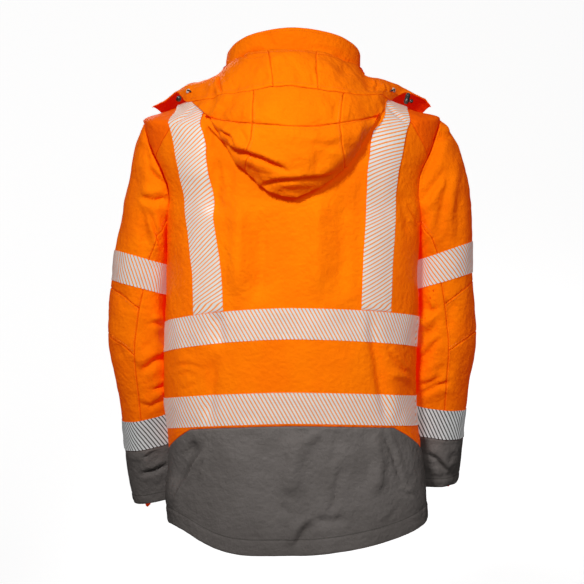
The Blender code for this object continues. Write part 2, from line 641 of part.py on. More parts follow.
def front_turns(level, side):
    """Turns across one front at one level, from the zip edge to the side."""
    width = float(BODY.at("left", level))
    zip_edge = 1.5 * math.pi + side * ZIP_HALF_GAP / width
    border = edge_turns([level], side, False)[0]
    outer = 2.0 * math.pi + border if side > 0 else math.pi - border
    return np.linspace(zip_edge, outer, FRONT_CELLS + 1)


def armhole_blend(turns, levels, side, back, column):
    """Normals with the shared armhole direction put in along the armhole border."""
    normals = surface_normals(ring_point, turns, levels)
    stretch = np.ones(turns.shape)
    shared, factor = mitre(side)
    half = ARMHOLE_POINTS // 2
    last = YOKE_BACK_POINT if back else -YOKE_FRONT_POINT
    for k in range(half, last - 1, -1):
        level = float(armhole_turn(2.0 * math.pi * k / ARMHOLE_POINTS)[1])
        row = int(np.argmin(np.abs(levels[:, column] - level)))
        index = k if back else (-k) % ARMHOLE_POINTS
        normals[row, column] = shared[index]
        stretch[row, column] = factor[index]
    return normals, stretch


def upper_panel(name, back, side=1):
    """An orange back or front panel, from the grey seam to the neck."""
    levels = upper_levels(back)
    across = back_turns if back else (lambda level: front_turns(level, side))
    lowest = across(PANEL_TOP)
    turns = np.array([lowest] + [across(level) for level in levels])
    grid = np.array([panel_top(lowest)] + [np.full(turns.shape[1], level) for level in levels])
    if back:
        normals, stretch = armhole_blend(turns, grid, 1, True, 0)
        other, more = armhole_blend(turns, grid, -1, True, turns.shape[1] - 1)
        normals[:, -1] = other[:, -1]
        stretch[:, -1] = more[:, -1]
    else:
        normals, stretch = armhole_blend(turns, grid, side, False, turns.shape[1] - 1)
    return body_wall(name, turns, grid, ORANGE, normals, stretch)


def lower_panel(name, back, side=1):
    """A grey hem panel, from the hem to its seam under the waist tape."""
    across = back_turns if back else (lambda level: front_turns(level, side))
    shares = np.linspace(0.0, 1.0, 6)
    turns = np.array([across(PANEL_TOP * share) for share in shares])
    top = panel_top(turns[-1])
    grid = np.array([top * share for share in shares])
    return body_wall(name, turns, grid, GREY)


def yoke(name, side):
    """The shoulder piece between the armhole, the neck and the two yoke seams."""
    columns = np.arange(YOKE_FRONT_POINT, YOKE_BACK_POINT + 1)
    phase = 2.0 * math.pi * columns / ARMHOLE_POINTS
    arm_turn, arm_level = armhole_turn(phase)
    count = len(columns)
    back_levels = np.linspace(arm_level[-1], NECK, YOKE_STEPS + 1)
    front_levels = np.linspace(arm_level[0], NECK, YOKE_STEPS + 1)
    back_seam = np.array([edge_turns([level], 1, True)[0] for level in back_levels])
    front_seam = np.array([edge_turns([level], 1, False)[0] for level in front_levels])
    neck_turn = np.linspace(front_seam[-1], back_seam[-1], count)
    turns = np.zeros((YOKE_STEPS + 1, count))
    levels = np.zeros((YOKE_STEPS + 1, count))
    for row in range(YOKE_STEPS + 1):
        p = row / YOKE_STEPS
        for column in range(count):
            q = column / (count - 1)
            edges = ((1 - p) * arm_turn[column] + p * neck_turn[column],
                     (1 - p) * arm_level[column] + p * NECK)
            seams = ((1 - q) * front_seam[row] + q * back_seam[row],
                     (1 - q) * front_levels[row] + q * back_levels[row])
            corners = ((1 - p) * ((1 - q) * arm_turn[0] + q * arm_turn[-1])
                       + p * ((1 - q) * neck_turn[0] + q * neck_turn[-1]),
                       (1 - p) * ((1 - q) * arm_level[0] + q * arm_level[-1]) + p * NECK)
            turns[row, column] = edges[0] + seams[0] - corners[0]
            levels[row, column] = edges[1] + seams[1] - corners[1]
    placed = turns if side > 0 else math.pi - turns
    normals = surface_normals(ring_point, placed, levels)
    shared, factor = mitre(side)
    stretch = np.ones(turns.shape)
    for column, number in enumerate(columns):
        normals[0, column] = shared[number % ARMHOLE_POINTS]
        stretch[0, column] = factor[number % ARMHOLE_POINTS]
    return body_wall(name, placed, levels, DEEP_ORANGE, normals, stretch)


def body_tape(name, levels, across):
    """A tape that lies on the body between two levels."""
    turns = np.array([across(level) for level in levels])
    grid = np.array([np.full(turns.shape[1], level) for level in levels])
    points = ring_point(turns, grid)
    normals = surface_normals(ring_point, turns, grid)
    return wall(name, points, normals, TAPE_WALL, SILVER, lift=TAPE_LIFT, inward=False, roughness=0.4)


def find_on_body(target, axes, guess):
    """Turn and level of the body point that has the target's two coordinates."""
    turn, level = guess
    step = 1e-4
    for _ in range(30):
        here = ring_point(turn, level)[list(axes)]
        miss = target[list(axes)] - here
        by_turn = (ring_point(turn + step, level)[list(axes)] - here) / step
        by_level = (ring_point(turn, level + step)[list(axes)] - here) / step
        change = np.linalg.lstsq(np.stack([by_turn, by_level], axis=1), miss, rcond=None)[0]
        turn += float(np.clip(change[0], -0.15, 0.15))
        level = min(max(level + float(np.clip(change[1], -0.5, 0.5)), HEM), NECK)
    return turn, level


def brace_knots(side):
    """Turns and levels that the brace's centre line goes through."""
    flip = np.array([side, 1.0, 1.0])
    back = LEFT_BRACE_BACK if side > 0 else RIGHT_BRACE_BACK
    guess = (mirrored(math.radians(50.0), side), 5.0)
    knots = []
    for place in back:
        guess = find_on_body(np.array(place), (0, 2), guess)
        knots.append(guess)
    for place in BRACE_TOP:
        guess = find_on_body(np.array(place) * flip, (0, 1), guess)
        knots.append(guess)
    for place in BRACE_FRONT:
        guess = find_on_body(np.array(place) * flip, (0, 2), guess)
        knots.append(guess)
    return np.array(knots)


def brace_stops(line, length):
    """Distances along the brace for its rows, closer together over the shoulder."""
    stops = [0.0]
    while stops[-1] < length:
        high = float(line.at("level", stops[-1])) > BRACE_SHOULDER_LEVEL
        stops.append(stops[-1] + (BRACE_FINE_STEP if high else BRACE_STEP))
    return np.array(stops) * length / stops[-1]


def brace(name, side):
    """A shoulder tape from the chest tape at the back, over the shoulder, to the front."""
    knots = brace_knots(side)
    places = ring_point(knots[:, 0], knots[:, 1])
    lengths = np.concatenate([[0.0], np.cumsum(np.linalg.norm(np.diff(places, axis=0), axis=1))])
    line = Table(("s", "turn", "level"), np.column_stack([lengths, knots]))
    stops = brace_stops(line, lengths[-1])
    turns = line.at("turn", stops)
    levels = line.at("level", stops)
    step = 1e-3
    by_turn = (ring_point(turns + step, levels) - ring_point(turns - step, levels)) / (2.0 * step)
    by_level = (ring_point(turns, levels + step) - ring_point(turns, levels - step)) / (2.0 * step)
    centre = ring_point(turns, levels)
    tangent = unit(np.gradient(centre, axis=0))
    sideways = unit(np.cross(tangent, unit(np.cross(by_turn, by_level))))
    slopes = np.stack([by_turn, by_level], axis=-1)
    moves = np.array([np.linalg.lstsq(slope, way, rcond=None)[0] for slope, way in zip(slopes, sideways)])
    offsets = np.linspace(-0.5, 0.5, BRACE_CELLS + 1)[:, None] * BRACE_WIDTH
    grid_turns = turns + offsets * moves[:, 0]
    grid_levels = levels + offsets * moves[:, 1]
    end_level = CHEST_TAPE[1] + BRACE_CLEAR
    grid_levels[:, 0] = end_level
    grid_levels[:, -1] = end_level
    points = ring_point(grid_turns, grid_levels)
    normals = surface_normals(ring_point, grid_turns, grid_levels)
    rise = np.clip(grid_levels - BRACE_SHOULDER_LEVEL + 1.0, 0.0, 1.0)
    points = points + normals * (rise * BRACE_SHOULDER_LIFT)[..., None]
    return wall(name, points, normals, TAPE_WALL, SILVER, lift=BRACE_LIFT, inward=False, roughness=0.4)


def sleeve_block(name, side, stations, columns, colour, dip=None, mitred=False):
    """A sleeve piece from rows of stations and a run of columns."""
    stations = np.asarray(stations, dtype=float)
    grids = []
    normal_grids = []
    for station in stations:
        row_points = []
        row_normals = []
        for column in columns:
            place = station + (dip(station, column) if dip else 0.0)
            points, normals = sleeve_grid(side, [place])
            row_points.append(points[0, column % ARMHOLE_POINTS])
            row_normals.append(normals[0, column % ARMHOLE_POINTS])
        grids.append(row_points)
        normal_grids.append(row_normals)
    points = np.array(grids)
    normals = np.array(normal_grids)
    stretch = np.ones(points.shape[:2])
    if mitred:
        shared, factor = mitre(side)
        for index, column in enumerate(columns):
            normals[0, index] = shared[column % ARMHOLE_POINTS]
            stretch[0, index] = factor[column % ARMHOLE_POINTS]
    closed = len(columns) == ARMHOLE_POINTS
    return wall(name, points, normals, WALL, colour, closed=closed, stretch=stretch)


def elbow_dip(station, column):
    """Extra station of the elbow seams towards the sleeve seams."""
    place = column if column <= OUTER_COLUMNS else column - ARMHOLE_POINTS
    share = min(abs(place) / OUTER_COLUMNS, 1.0)
    inside = np.interp(station, (UPPER_TAPE[1], ELBOW_TOP, ELBOW_END, 11.0), (0.0, 1.0, 1.0, 0.0))
    return ELBOW_DIP * share ** 2 * float(inside)


def sleeve_tape(name, side, stations):
    """A closed ring of tape on the sleeve."""
    points, normals = sleeve_grid(side, stations)
    return wall(name, points, normals, TAPE_WALL, SILVER, lift=TAPE_LIFT, inward=False, closed=True,
                roughness=0.4)


def sleeve(side, letter):
    """Every piece of one sleeve."""
    outer = range(-OUTER_COLUMNS, OUTER_COLUMNS + 1)
    under = range(OUTER_COLUMNS, ARMHOLE_POINTS - OUTER_COLUMNS + 1)
    top_rows = (0.0, 0.5, 1.0, 2.0, 3.0, 4.0, 5.0, 6.0, 7.0, ELBOW_TOP)
    elbow_rows = (ELBOW_TOP, 7.9, 8.5, ELBOW_END)
    fore_rows = (ELBOW_END, 9.7, 10.4, 11.2, 12.0, 13.0, 13.06)
    under_rows = (*top_rows, *elbow_rows[1:], *fore_rows[1:])
    cuff_rows = (13.06, 13.7, 14.4, CUFF)
    sleeve_block("sleeve_top_" + letter, side, top_rows, outer, ORANGE, elbow_dip, mitred=True)
    sleeve_block("sleeve_elbow_" + letter, side, elbow_rows, outer, ORANGE, elbow_dip)
    sleeve_block("sleeve_fore_" + letter, side, fore_rows, outer, ORANGE, elbow_dip)
    sleeve_block("sleeve_under_" + letter, side, under_rows, under, ORANGE, elbow_dip, mitred=True)
    sleeve_block("sleeve_cuff_" + letter, side, cuff_rows, range(ARMHOLE_POINTS), GREY)
    sleeve_tape("tape_arm_upper_" + letter, side, UPPER_TAPE)
    sleeve_tape("tape_arm_lower_" + letter, side, LOWER_TAPE)


def collar():
    """The stand collar, open at the zip."""
    half = ZIP_HALF_GAP / COLLAR_TOP_FRONT
    start = 1.5 * math.pi + half
    end = 3.5 * math.pi - half
    turns = np.linspace(start, end, COLLAR_CELLS + 1)
    rises = np.linspace(0.0, 1.0, COLLAR_ROWS + 1)
    grid, rise = np.meshgrid(turns, rises)
    points = collar_point(grid, rise)
    normals = surface_normals(collar_point, grid, rise, 1e-3)
    return wall("collar", points, normals, COLLAR_WALL, ORANGE, trims=())


def brim_point(station, share):
    """Hood brim: share 0 is the mouth edge and 1 the first cross seam."""
    share = np.asarray(share, dtype=float)[..., None]
    mouth = BRIM.point("mouth", station)
    crest = BRIM.point("crest", station)
    seam = BRIM.point("seam", station)
    middle = 0.45
    first = (share - middle) * (share - 1.0) / middle
    second = share * (1.0 - share) / (middle * (1.0 - middle))
    third = share * (share - middle) / (1.0 - middle)
    return mouth * first + crest * second + seam * third


def edge_place(station):
    """Turn and level on the body of the hood's lower edge."""
    target = np.array([float(HOOD.at("edge_x", station)), 0.0, float(HOOD.at("edge_z", station))])
    return find_on_body(target, (0, 2), (math.pi / 2.0 - target[0] * 6.0, 10.5))


def hood_edge(stations):
    """The hood's lower edge, just above the nape piece on the back."""
    places = np.array([edge_place(station) for station in stations])
    normals = surface_normals(ring_point, places[:, 0], places[:, 1])
    return ring_point(places[:, 0], places[:, 1]) + normals * HOOD_EDGE_LIFT


def band_point(station, share):
    """Hood band between its two cross seams."""
    share = np.asarray(share, dtype=float)[..., None]
    top = BRIM.point("seam", station)
    low = HOOD.point("seam", station)
    bulge = np.array([0.0, BAND_BULGE, 0.0]) * 4.0 * share * (1.0 - share)
    return top + (low - top) * share + bulge


def crown_grid(stations, shares):
    """Hood crown below the second cross seam, down to the lower edge."""
    top = HOOD.point("seam", stations)
    low = hood_edge(stations)
    ends = (stations - HOOD_LEFT_END) / (HOOD_RIGHT_END - HOOD_LEFT_END)
    swell = np.sin(math.pi * np.clip(ends, 0.0, 1.0)) ** 0.7
    rows = []
    for share in shares:
        bulge = np.outer(CROWN_BULGE * 4.0 * share * (1.0 - share) * swell, np.array([0.0, 1.0, -0.25]))
        rows.append(top + (low - top) * share + bulge)
    return np.array(rows)


def grid_normals(points):
    """Normals of a grid of points, away from the body's middle line."""
    along = np.gradient(points, axis=1)
    across = np.gradient(points, axis=0)
    return unit(np.cross(along, across))


def hood():
    """The hood: brim, three band pieces and three crown pieces, sharing their seam lines."""
    cuts = (HOOD_LEFT_END, *HOOD_SEAM_STATIONS, HOOD_RIGHT_END)
    runs = [np.linspace(cuts[index], cuts[index + 1], HOOD_CELLS + 1) for index in range(3)]
    inner = np.concatenate([runs[0], runs[1][1:], runs[2][1:]])
    left_wing = np.linspace(BRIM_ROWS[0][0], HOOD_LEFT_END, WING_CELLS + 1)[:-1]
    right_wing = np.linspace(HOOD_RIGHT_END, BRIM_ROWS[-1][0], WING_CELLS + 1)[1:]
    stations = np.concatenate([left_wing, inner, right_wing])
    grid, share = np.meshgrid(stations, np.linspace(0.0, 1.0, BRIM_CELLS + 1))
    brim = brim_point(grid, share)
    grid, share = np.meshgrid(inner, np.linspace(0.0, 1.0, BAND_CELLS + 1))
    band = band_point(grid, share)
    crown = crown_grid(inner, np.linspace(0.0, 1.0, CROWN_CELLS + 1))
    first = len(left_wing)
    last = first + len(inner)
    whole = np.concatenate([brim[:, first:last], band[1:], crown[1:]])
    normals = grid_normals(whole)
    brim_normals = grid_normals(brim)
    brim_normals[:, first:last] = normals[:BRIM_CELLS + 1]
    wall("hood_brim", brim, brim_normals, HOOD_WALL, ORANGE)
    for index, letter in enumerate("lcr"):
        part = slice(index * HOOD_CELLS, (index + 1) * HOOD_CELLS + 1)
        rows = slice(BRIM_CELLS, BRIM_CELLS + BAND_CELLS + 1)
        wall("hood_band_" + letter, whole[rows, part], normals[rows, part], HOOD_WALL, ORANGE)
        rows = slice(BRIM_CELLS + BAND_CELLS, len(whole))
        wall("hood_crown_" + letter, whole[rows, part], normals[rows, part], HOOD_WALL, ORANGE)


def nape():
    """The hood's nape piece, lying on the back from the neck seam to under the lower edge."""
    stations = np.linspace(HOOD_LEFT_END, HOOD_RIGHT_END, NAPE_CELLS + 1)
    start = math.radians(NAPE_TURN)
    neck_turns = np.linspace(start, math.pi - start, NAPE_CELLS + 1)
    ends = np.array([edge_place(station) for station in stations])
    shares = np.linspace(0.0, 1.0, 6)
    turns = np.array([neck_turns + (ends[:, 0] - neck_turns) * share for share in shares])
    levels = np.array([NAPE_TOP_LEVEL + (ends[:, 1] - NAPE_TOP_LEVEL) * share for share in shares])
    normals = surface_normals(ring_point, turns, levels)
    points = ring_point(turns, levels) + normals * NAPE_LIFT
    return wall("hood_nape", points, normals, HOOD_WALL, ORANGE, trims=())


def solid_of_turn(name, profile, base, direction, colour, roughness, metallic, points=16):
    """A turned solid: profile rows are (distance along the axis, radius)."""
    direction = unit(np.array(direction, dtype=float))
    helper = np.array([0.0, 0.0, 1.0]) if abs(direction[2]) < 0.9 else np.array([1.0, 0.0, 0.0])
    first = unit(np.cross(direction, helper))
    second = np.cross(direction, first)
    angles = 2.0 * math.pi * np.arange(points) / points
    circle = np.outer(np.cos(angles), first) + np.outer(np.sin(angles), second)
    vertices = []
    for distance, radius in profile:
        vertices += list(np.array(base) + direction * distance + circle * radius)
    rings = len(profile)
    faces = []
    for ring in range(rings - 1):
        for index in range(points):
            after = (index + 1) % points
            low = ring * points
            high = low + points
            faces.append((low + index, low + after, high + after, high + index))
    faces.append(tuple(range(points))[::-1])
    faces.append(tuple(range((rings - 1) * points, rings * points)))
    return make_mesh(name, vertices, faces, colour, roughness, metallic)


def washer(name, centre, direction, outer, inner, height, colour, points=20):
    """A flat ring with its hole along the direction."""
    direction = unit(np.array(direction, dtype=float))
    first = unit(np.cross(direction, np.array([0.0, 0.0, 1.0])))
    second = np.cross(direction, first)
    angles = 2.0 * math.pi * np.arange(points) / points
    circle = np.outer(np.cos(angles), first) + np.outer(np.sin(angles), second)
    vertices = []
    for radius, distance in ((outer, 0.0), (outer, height), (inner, height), (inner, 0.0)):
        vertices += list(np.array(centre) + circle * radius + direction * distance)
    faces = []
    for ring in range(4):
        low = ring * points
        high = (ring + 1) % 4 * points
        for index in range(points):
            after = (index + 1) % points
            faces.append((low + index, low + after, high + after, high + index))
    return make_mesh(name, vertices, faces, colour, 0.5, 0.0)


def front_line(share, side_step, depth):
    """A point by the zip: share runs from 0 at the hem to 1 at the collar top."""
    middle = np.array(1.5 * math.pi)
    level = np.array(min(NECK * share / ZIP_BODY_SHARE, NECK))
    if share <= ZIP_BODY_SHARE:
        turn = middle + side_step / float(BODY.at("left", level))
        point = ring_point(turn, level)
        normal = surface_normals(ring_point, middle, level)
    else:
        rise = np.array((share - ZIP_BODY_SHARE) / (1.0 - ZIP_BODY_SHARE))
        turn = middle + side_step / COLLAR_TOP_FRONT
        point = collar_point(turn, rise)
        normal = surface_normals(collar_point, middle, rise)
    sink = np.clip((level - ZIP_SINK_START) / (ZIP_SINK_END - ZIP_SINK_START), 0.0, 1.0)
    return point - normal * (depth + sink * (COLLAR_WALL - WALL + ZIP_COLLAR_CLEAR)), normal


def zip_strip(name, half, depth, thickness, colour, last_share, roughness):
    """A strip down the front opening: the zip's tapes or its closed chain."""
    shares = np.linspace(0.0, 1.0, ZIP_ROWS)
    shares = np.append(shares[shares < last_share - SHARE_SLACK], last_share)
    points = []
    normals = []
    for share in shares:
        row = [front_line(share, step, depth) for step in (-half, half)]
        points.append([point for point, normal in row])
        normals.append([normal for point, normal in row])
    return wall(name, np.array(points), np.array(normals), thickness, colour, trims=(), roughness=roughness)


def box(name, centre, axes, sizes, colour, roughness, metallic):
    """A block given by its centre, three directions and three sizes."""
    corners = []
    for sx, sy, sz in ((-1, -1, -1), (1, -1, -1), (1, 1, -1), (-1, 1, -1),
                       (-1, -1, 1), (1, -1, 1), (1, 1, 1), (-1, 1, 1)):
        corners.append(centre + axes[0] * sx * sizes[0] / 2 + axes[1] * sy * sizes[1] / 2
                       + axes[2] * sz * sizes[2] / 2)
    faces = [(0, 3, 2, 1), (4, 5, 6, 7), (0, 1, 5, 4), (1, 2, 6, 5), (2, 3, 7, 6), (3, 0, 4, 7)]
    return make_mesh(name, corners, faces, colour, roughness, metallic)


def join(pieces, name):
    """Union of overlapping solids into one named object."""
    base = pieces[0]
    for piece in pieces[1:]:
        union = base.modifiers.new("union", "BOOLEAN")
        union.operation = "UNION"
        union.solver = "EXACT"
        union.object = piece
        with bpy.context.temp_override(object=base, active_object=base):
            bpy.ops.object.modifier_apply(modifier=union.name)
        bpy.data.objects.remove(piece, do_unlink=True)
    base.name = name
    base.data.name = name
    return base


def slider():
    """The zip slider at the closed end of the chain, with the lugs and pin that carry the pull."""
    place, normal = front_line(SLIDER_SHARE, 0.0, WALL)
    above = front_line(SLIDER_SHARE + 0.004, 0.0, WALL)[0]
    up = unit(above - place)
    across = np.array([1.0, 0.0, 0.0])
    out = np.cross(across, up)
    out = out * np.sign(float(np.dot(out, normal)))
    block_centre = place + out * (SLIDER_BACK + SLIDER_DEPTH / 2)
    face = place + out * (SLIDER_BACK + SLIDER_DEPTH)
    pieces = [box("block", block_centre, (across, up, out), (SLIDER_WIDTH, SLIDER_HEIGHT, SLIDER_DEPTH),
                  METAL, 0.35, 1.0)]
    pin_centre = face + out * (LUG_REACH - PIN_RADIUS - 0.0006)
    for sign in (-1, 1):
        centre = face + across * sign * (PULL_WIDTH / 2 + PULL_SIDE_GAP + LUG_WIDTH / 2) + out * LUG_REACH / 2
        centre = centre - out * 0.0002
        pieces.append(box("lug", centre, (across, up, out), (LUG_WIDTH, 0.0036, LUG_REACH + 0.0004),
                          METAL, 0.35, 1.0))
    span = PULL_WIDTH + 2 * PULL_SIDE_GAP + LUG_WIDTH
    pieces.append(solid_of_turn("pin", ((0.0, PIN_RADIUS), (span, PIN_RADIUS)),
                                pin_centre - across * span / 2, across, METAL, 0.35, 1.0, 12))
    join(pieces, "zip_slider")
    return pin_centre


def pull_tab(pin_centre):
    """The pull tab: a flat tab hanging from an eye round the slider's pin."""
    angles = np.radians([300.0, 340.0, 20.0, 60.0, 100.0, 140.0, 180.0, 220.0, 245.0, 262.0, 278.0, 285.0])
    half = PULL_WALL / 2
    reach = math.sqrt(PULL_RING ** 2 - half ** 2)
    rim = [(PULL_RING * math.cos(angle), PULL_RING * math.sin(angle)) for angle in angles[:-4]]
    rim += [(-half, -reach), (-half, -PULL_LENGTH), (half, -PULL_LENGTH), (half, -reach)]
    eye = [(PULL_EYE * math.cos(angle), PULL_EYE * math.sin(angle)) for angle in angles]
    count = len(angles)
    vertices = []
    for side_x in (-PULL_WIDTH / 2, PULL_WIDTH / 2):
        for ring in (rim, eye):
            vertices += [pin_centre + np.array([side_x, y, z]) for y, z in ring]
    faces = []
    for index in range(count):
        after = (index + 1) % count
        faces.append((count + index, count + after, after, index))
        faces.append((2 * count + index, 2 * count + after, 3 * count + after, 3 * count + index))
        faces.append((index, after, 2 * count + after, 2 * count + index))
        faces.append((3 * count + index, 3 * count + after, count + after, count + index))
    return make_mesh("zip_pull", vertices, faces, METAL, 0.35, 1.0)


def zip_front():
    """The closed front zip: its tapes, chain, slider and pull tab."""
    tape_depth = WALL + ZIP_TAPE_LIFT
    zip_strip("zip_tape", ZIP_TAPE_HALF, tape_depth, ZIP_TAPE_WALL, BLACK, 1.0, 0.8)
    zip_strip("zip_chain", CHAIN_HALF, tape_depth - ZIP_TAPE_LIFT / 2 - CHAIN_DEPTH, CHAIN_DEPTH, BLACK,
              CHAIN_STOP, 0.5)
    pull_tab(slider())


def cord_trims():
    """Eyelets on the brim, cord locks below them and the short cords that join them."""
    for side, letter in ((1, "l"), (-1, "r")):
        station = EYELET_STATION if side > 0 else 18.0 - EYELET_STATION
        place = brim_point(station, EYELET_SHARE)
        ahead = brim_point(station + 0.05, EYELET_SHARE)
        lower = brim_point(station, EYELET_SHARE + 0.03)
        normal = unit(np.cross(ahead - place, lower - place))
        normal = normal if normal[1] > 0.0 else -normal
        washer("eyelet_" + letter, place + normal * EYELET_LIFT, normal, EYELET_RADIUS, EYELET_HOLE,
               EYELET_HEIGHT, BLACK)
        body = ((0.0, 0.6 * LOCK_RADIUS), (0.15 * LOCK_LENGTH, LOCK_RADIUS),
                (0.85 * LOCK_LENGTH, LOCK_RADIUS), (LOCK_LENGTH, 0.6 * LOCK_RADIUS))
        solid_of_turn("cord_lock_" + letter, body, LOCK_TOPS[letter], LOCK_LEANS[letter], BLACK, 0.4, 0.0)
    ball = [(-KNOB_RADIUS * math.cos(angle), KNOB_RADIUS * math.sin(angle))
            for angle in np.radians([20.0, 55.0, 90.0, 125.0, 160.0])]
    solid_of_turn("cord_knob_r", ball, KNOB_CENTRE, (0.0, 1.0, 0.0), BLACK, 0.4, 0.0)


def cuff_strip(name, side, turns, stations, thickness, colour, lift, drop=0.0):
    """A strip that follows the cuff: outside it by lift, or inside it where lift is negative."""
    rows = np.array([sleeve_section(side, station, turns) for station in stations])
    if drop:
        rows = np.concatenate([rows, [rows[-1] + unit(rows[-1] - rows[-2]) * drop]])
    across = np.gradient(rows, axis=1)
    down = np.gradient(rows, axis=0)
    normals = unit(np.cross(down, across)) * side
    return wall(name, rows, normals, thickness, colour, lift=lift, inward=False, trims=())


def cuff_trims():
    """The tab on the front of each cuff and the end of the inner cuff that hangs below it."""
    for side, letter in ((1, "l"), (-1, "r")):
        turns = np.radians(np.linspace(CUFF_TAB_END, CUFF_TAB_START[letter], CUFF_TAB_CELLS + 1))
        cuff_strip("cuff_tab_" + letter, side, turns, CUFF_TAB_STATIONS, WALL, GREY, CUFF_TAB_LIFT)
        turns = np.radians(np.linspace(*CUFF_TAG_TURNS[letter], 3))
        cuff_strip("cuff_tag_" + letter, side, turns, (CUFF_TAG_TOP, CUFF), TAPE_WALL, DEEP_ORANGE,
                   -CUFF_TAG_INSET, CUFF_TAG_DROP[letter])


upper_panel("back_upper", True)
upper_panel("front_upper_l", False, 1)
upper_panel("front_upper_r", False, -1)
lower_panel("back_lower", True)
lower_panel("front_lower_l", False, 1)
lower_panel("front_lower_r", False, -1)
yoke("yoke_l", 1)
yoke("yoke_r", -1)
for tape_name, tape_levels in (("waist", WAIST_TAPE), ("chest", CHEST_TAPE)):
    body_tape("tape_" + tape_name + "_back", tape_levels, back_turns)
    body_tape("tape_" + tape_name + "_front_l", tape_levels, lambda level: front_turns(level, 1))
    body_tape("tape_" + tape_name + "_front_r", tape_levels, lambda level: front_turns(level, -1))
brace("brace_l", 1)
brace("brace_r", -1)
sleeve(1, "l")
sleeve(-1, "r")
collar()
hood()
nape()
zip_front()
cord_trims()
cuff_trims()
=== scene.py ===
"""Hi-vis work jacket with its hood thrown back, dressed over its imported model.

Metres, +Z up. The front faces -Y and the wearer's left is +X. Each cloth piece is a thin
shell on the same body, sleeve, collar and hood surfaces as the model's walls, with its
folds, seams, topstitching and weave. The moulded and metal trims are made last.
"""
from __future__ import annotations

import logging
import math
from collections.abc import Callable
from dataclasses import dataclass, field, replace
from enum import Enum

import bpy
import numpy as np
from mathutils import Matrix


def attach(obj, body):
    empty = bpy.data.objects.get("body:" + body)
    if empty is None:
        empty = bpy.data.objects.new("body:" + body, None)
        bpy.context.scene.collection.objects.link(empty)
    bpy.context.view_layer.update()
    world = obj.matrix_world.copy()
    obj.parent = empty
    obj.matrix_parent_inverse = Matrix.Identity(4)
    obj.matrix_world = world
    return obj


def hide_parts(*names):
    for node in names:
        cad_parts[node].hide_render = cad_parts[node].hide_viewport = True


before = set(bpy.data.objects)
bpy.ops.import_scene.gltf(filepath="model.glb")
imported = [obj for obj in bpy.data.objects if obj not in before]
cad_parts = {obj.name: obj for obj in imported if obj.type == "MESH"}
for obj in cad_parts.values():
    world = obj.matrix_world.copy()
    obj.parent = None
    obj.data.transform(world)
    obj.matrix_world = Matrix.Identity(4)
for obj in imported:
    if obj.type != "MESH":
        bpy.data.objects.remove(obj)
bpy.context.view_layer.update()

Array = np.ndarray
Socket = bpy.types.NodeSocket
Colour = tuple[float, float, float]
Row = tuple[float, ...]

LOG = logging.getLogger("work_jacket")
JACKET = "jacket"
CLOTH_MAP = "cloth"
SEAM_MASK = "seam"
HEM_GAP = "hem gap"
INSIDE = "inside"
SIDES = {"l": 1, "r": -1}
MILLIMETRES = 1000.0

# Small steps for slopes, and the slack when numbers are compared
SLOPE_STEP = 1e-3
FINE_STEP = 1e-4
SLACK = 1e-6

# Spare width and length of a flat cut
CUT_SPARE = 0.001

# Edges sharper than these, in degrees, stay sharp
SMOOTH_CLOTH = 60.0
SMOOTH_THREAD = 70.0
SMOOTH_TRIM = 40.0
SMOOTH_TEETH = 30.0

# Cloth thicknesses and the spacing of the fine grids
CLOTH = 0.0011
COLLAR_CLOTH = 0.0026
TAPE_CLOTH = 0.0004
TAPE_LIFT = 0.0004
BRACE_LIFT = 0.0009
SLEEVE_TAPE_LIFT = 0.0007
CELL = 0.0039
HOOD_CELL = 0.0029
BORDER_LINES = (0.0010, 0.0022, 0.0036, 0.0050, 0.0064, 0.0080)
STITCH_LINE = 4

# Reaches of seams, stitches, hems and puckers beside an edge, and the puckers' noise
SEAM_MASK_REACH = 0.0045
STITCH_REACH = 0.0011
HEM_RAMP = 0.003
HEM_GROOVE = 0.0025
PUCKER_SIZE = 0.0085
PUCKER_REACH = 0.009
PUCKER_SEED = 71

# Seeds beside a relief's own for the folds' wander and the first ripple
WANDER_SEEDS = (11, 12)
RIPPLE_SEED = 20

# Factors that scramble a cube's place into a random number
CUBE_FACTORS = (73856093, 19349663, 83492791)
SEED_FACTOR = 2654435
SCRAMBLE_FACTOR = 1274126177
LOW_BITS = 0x7FFFFFFF
NOISE_STEPS = 65536


# ------------------------------------------------------------------ numbers and tables


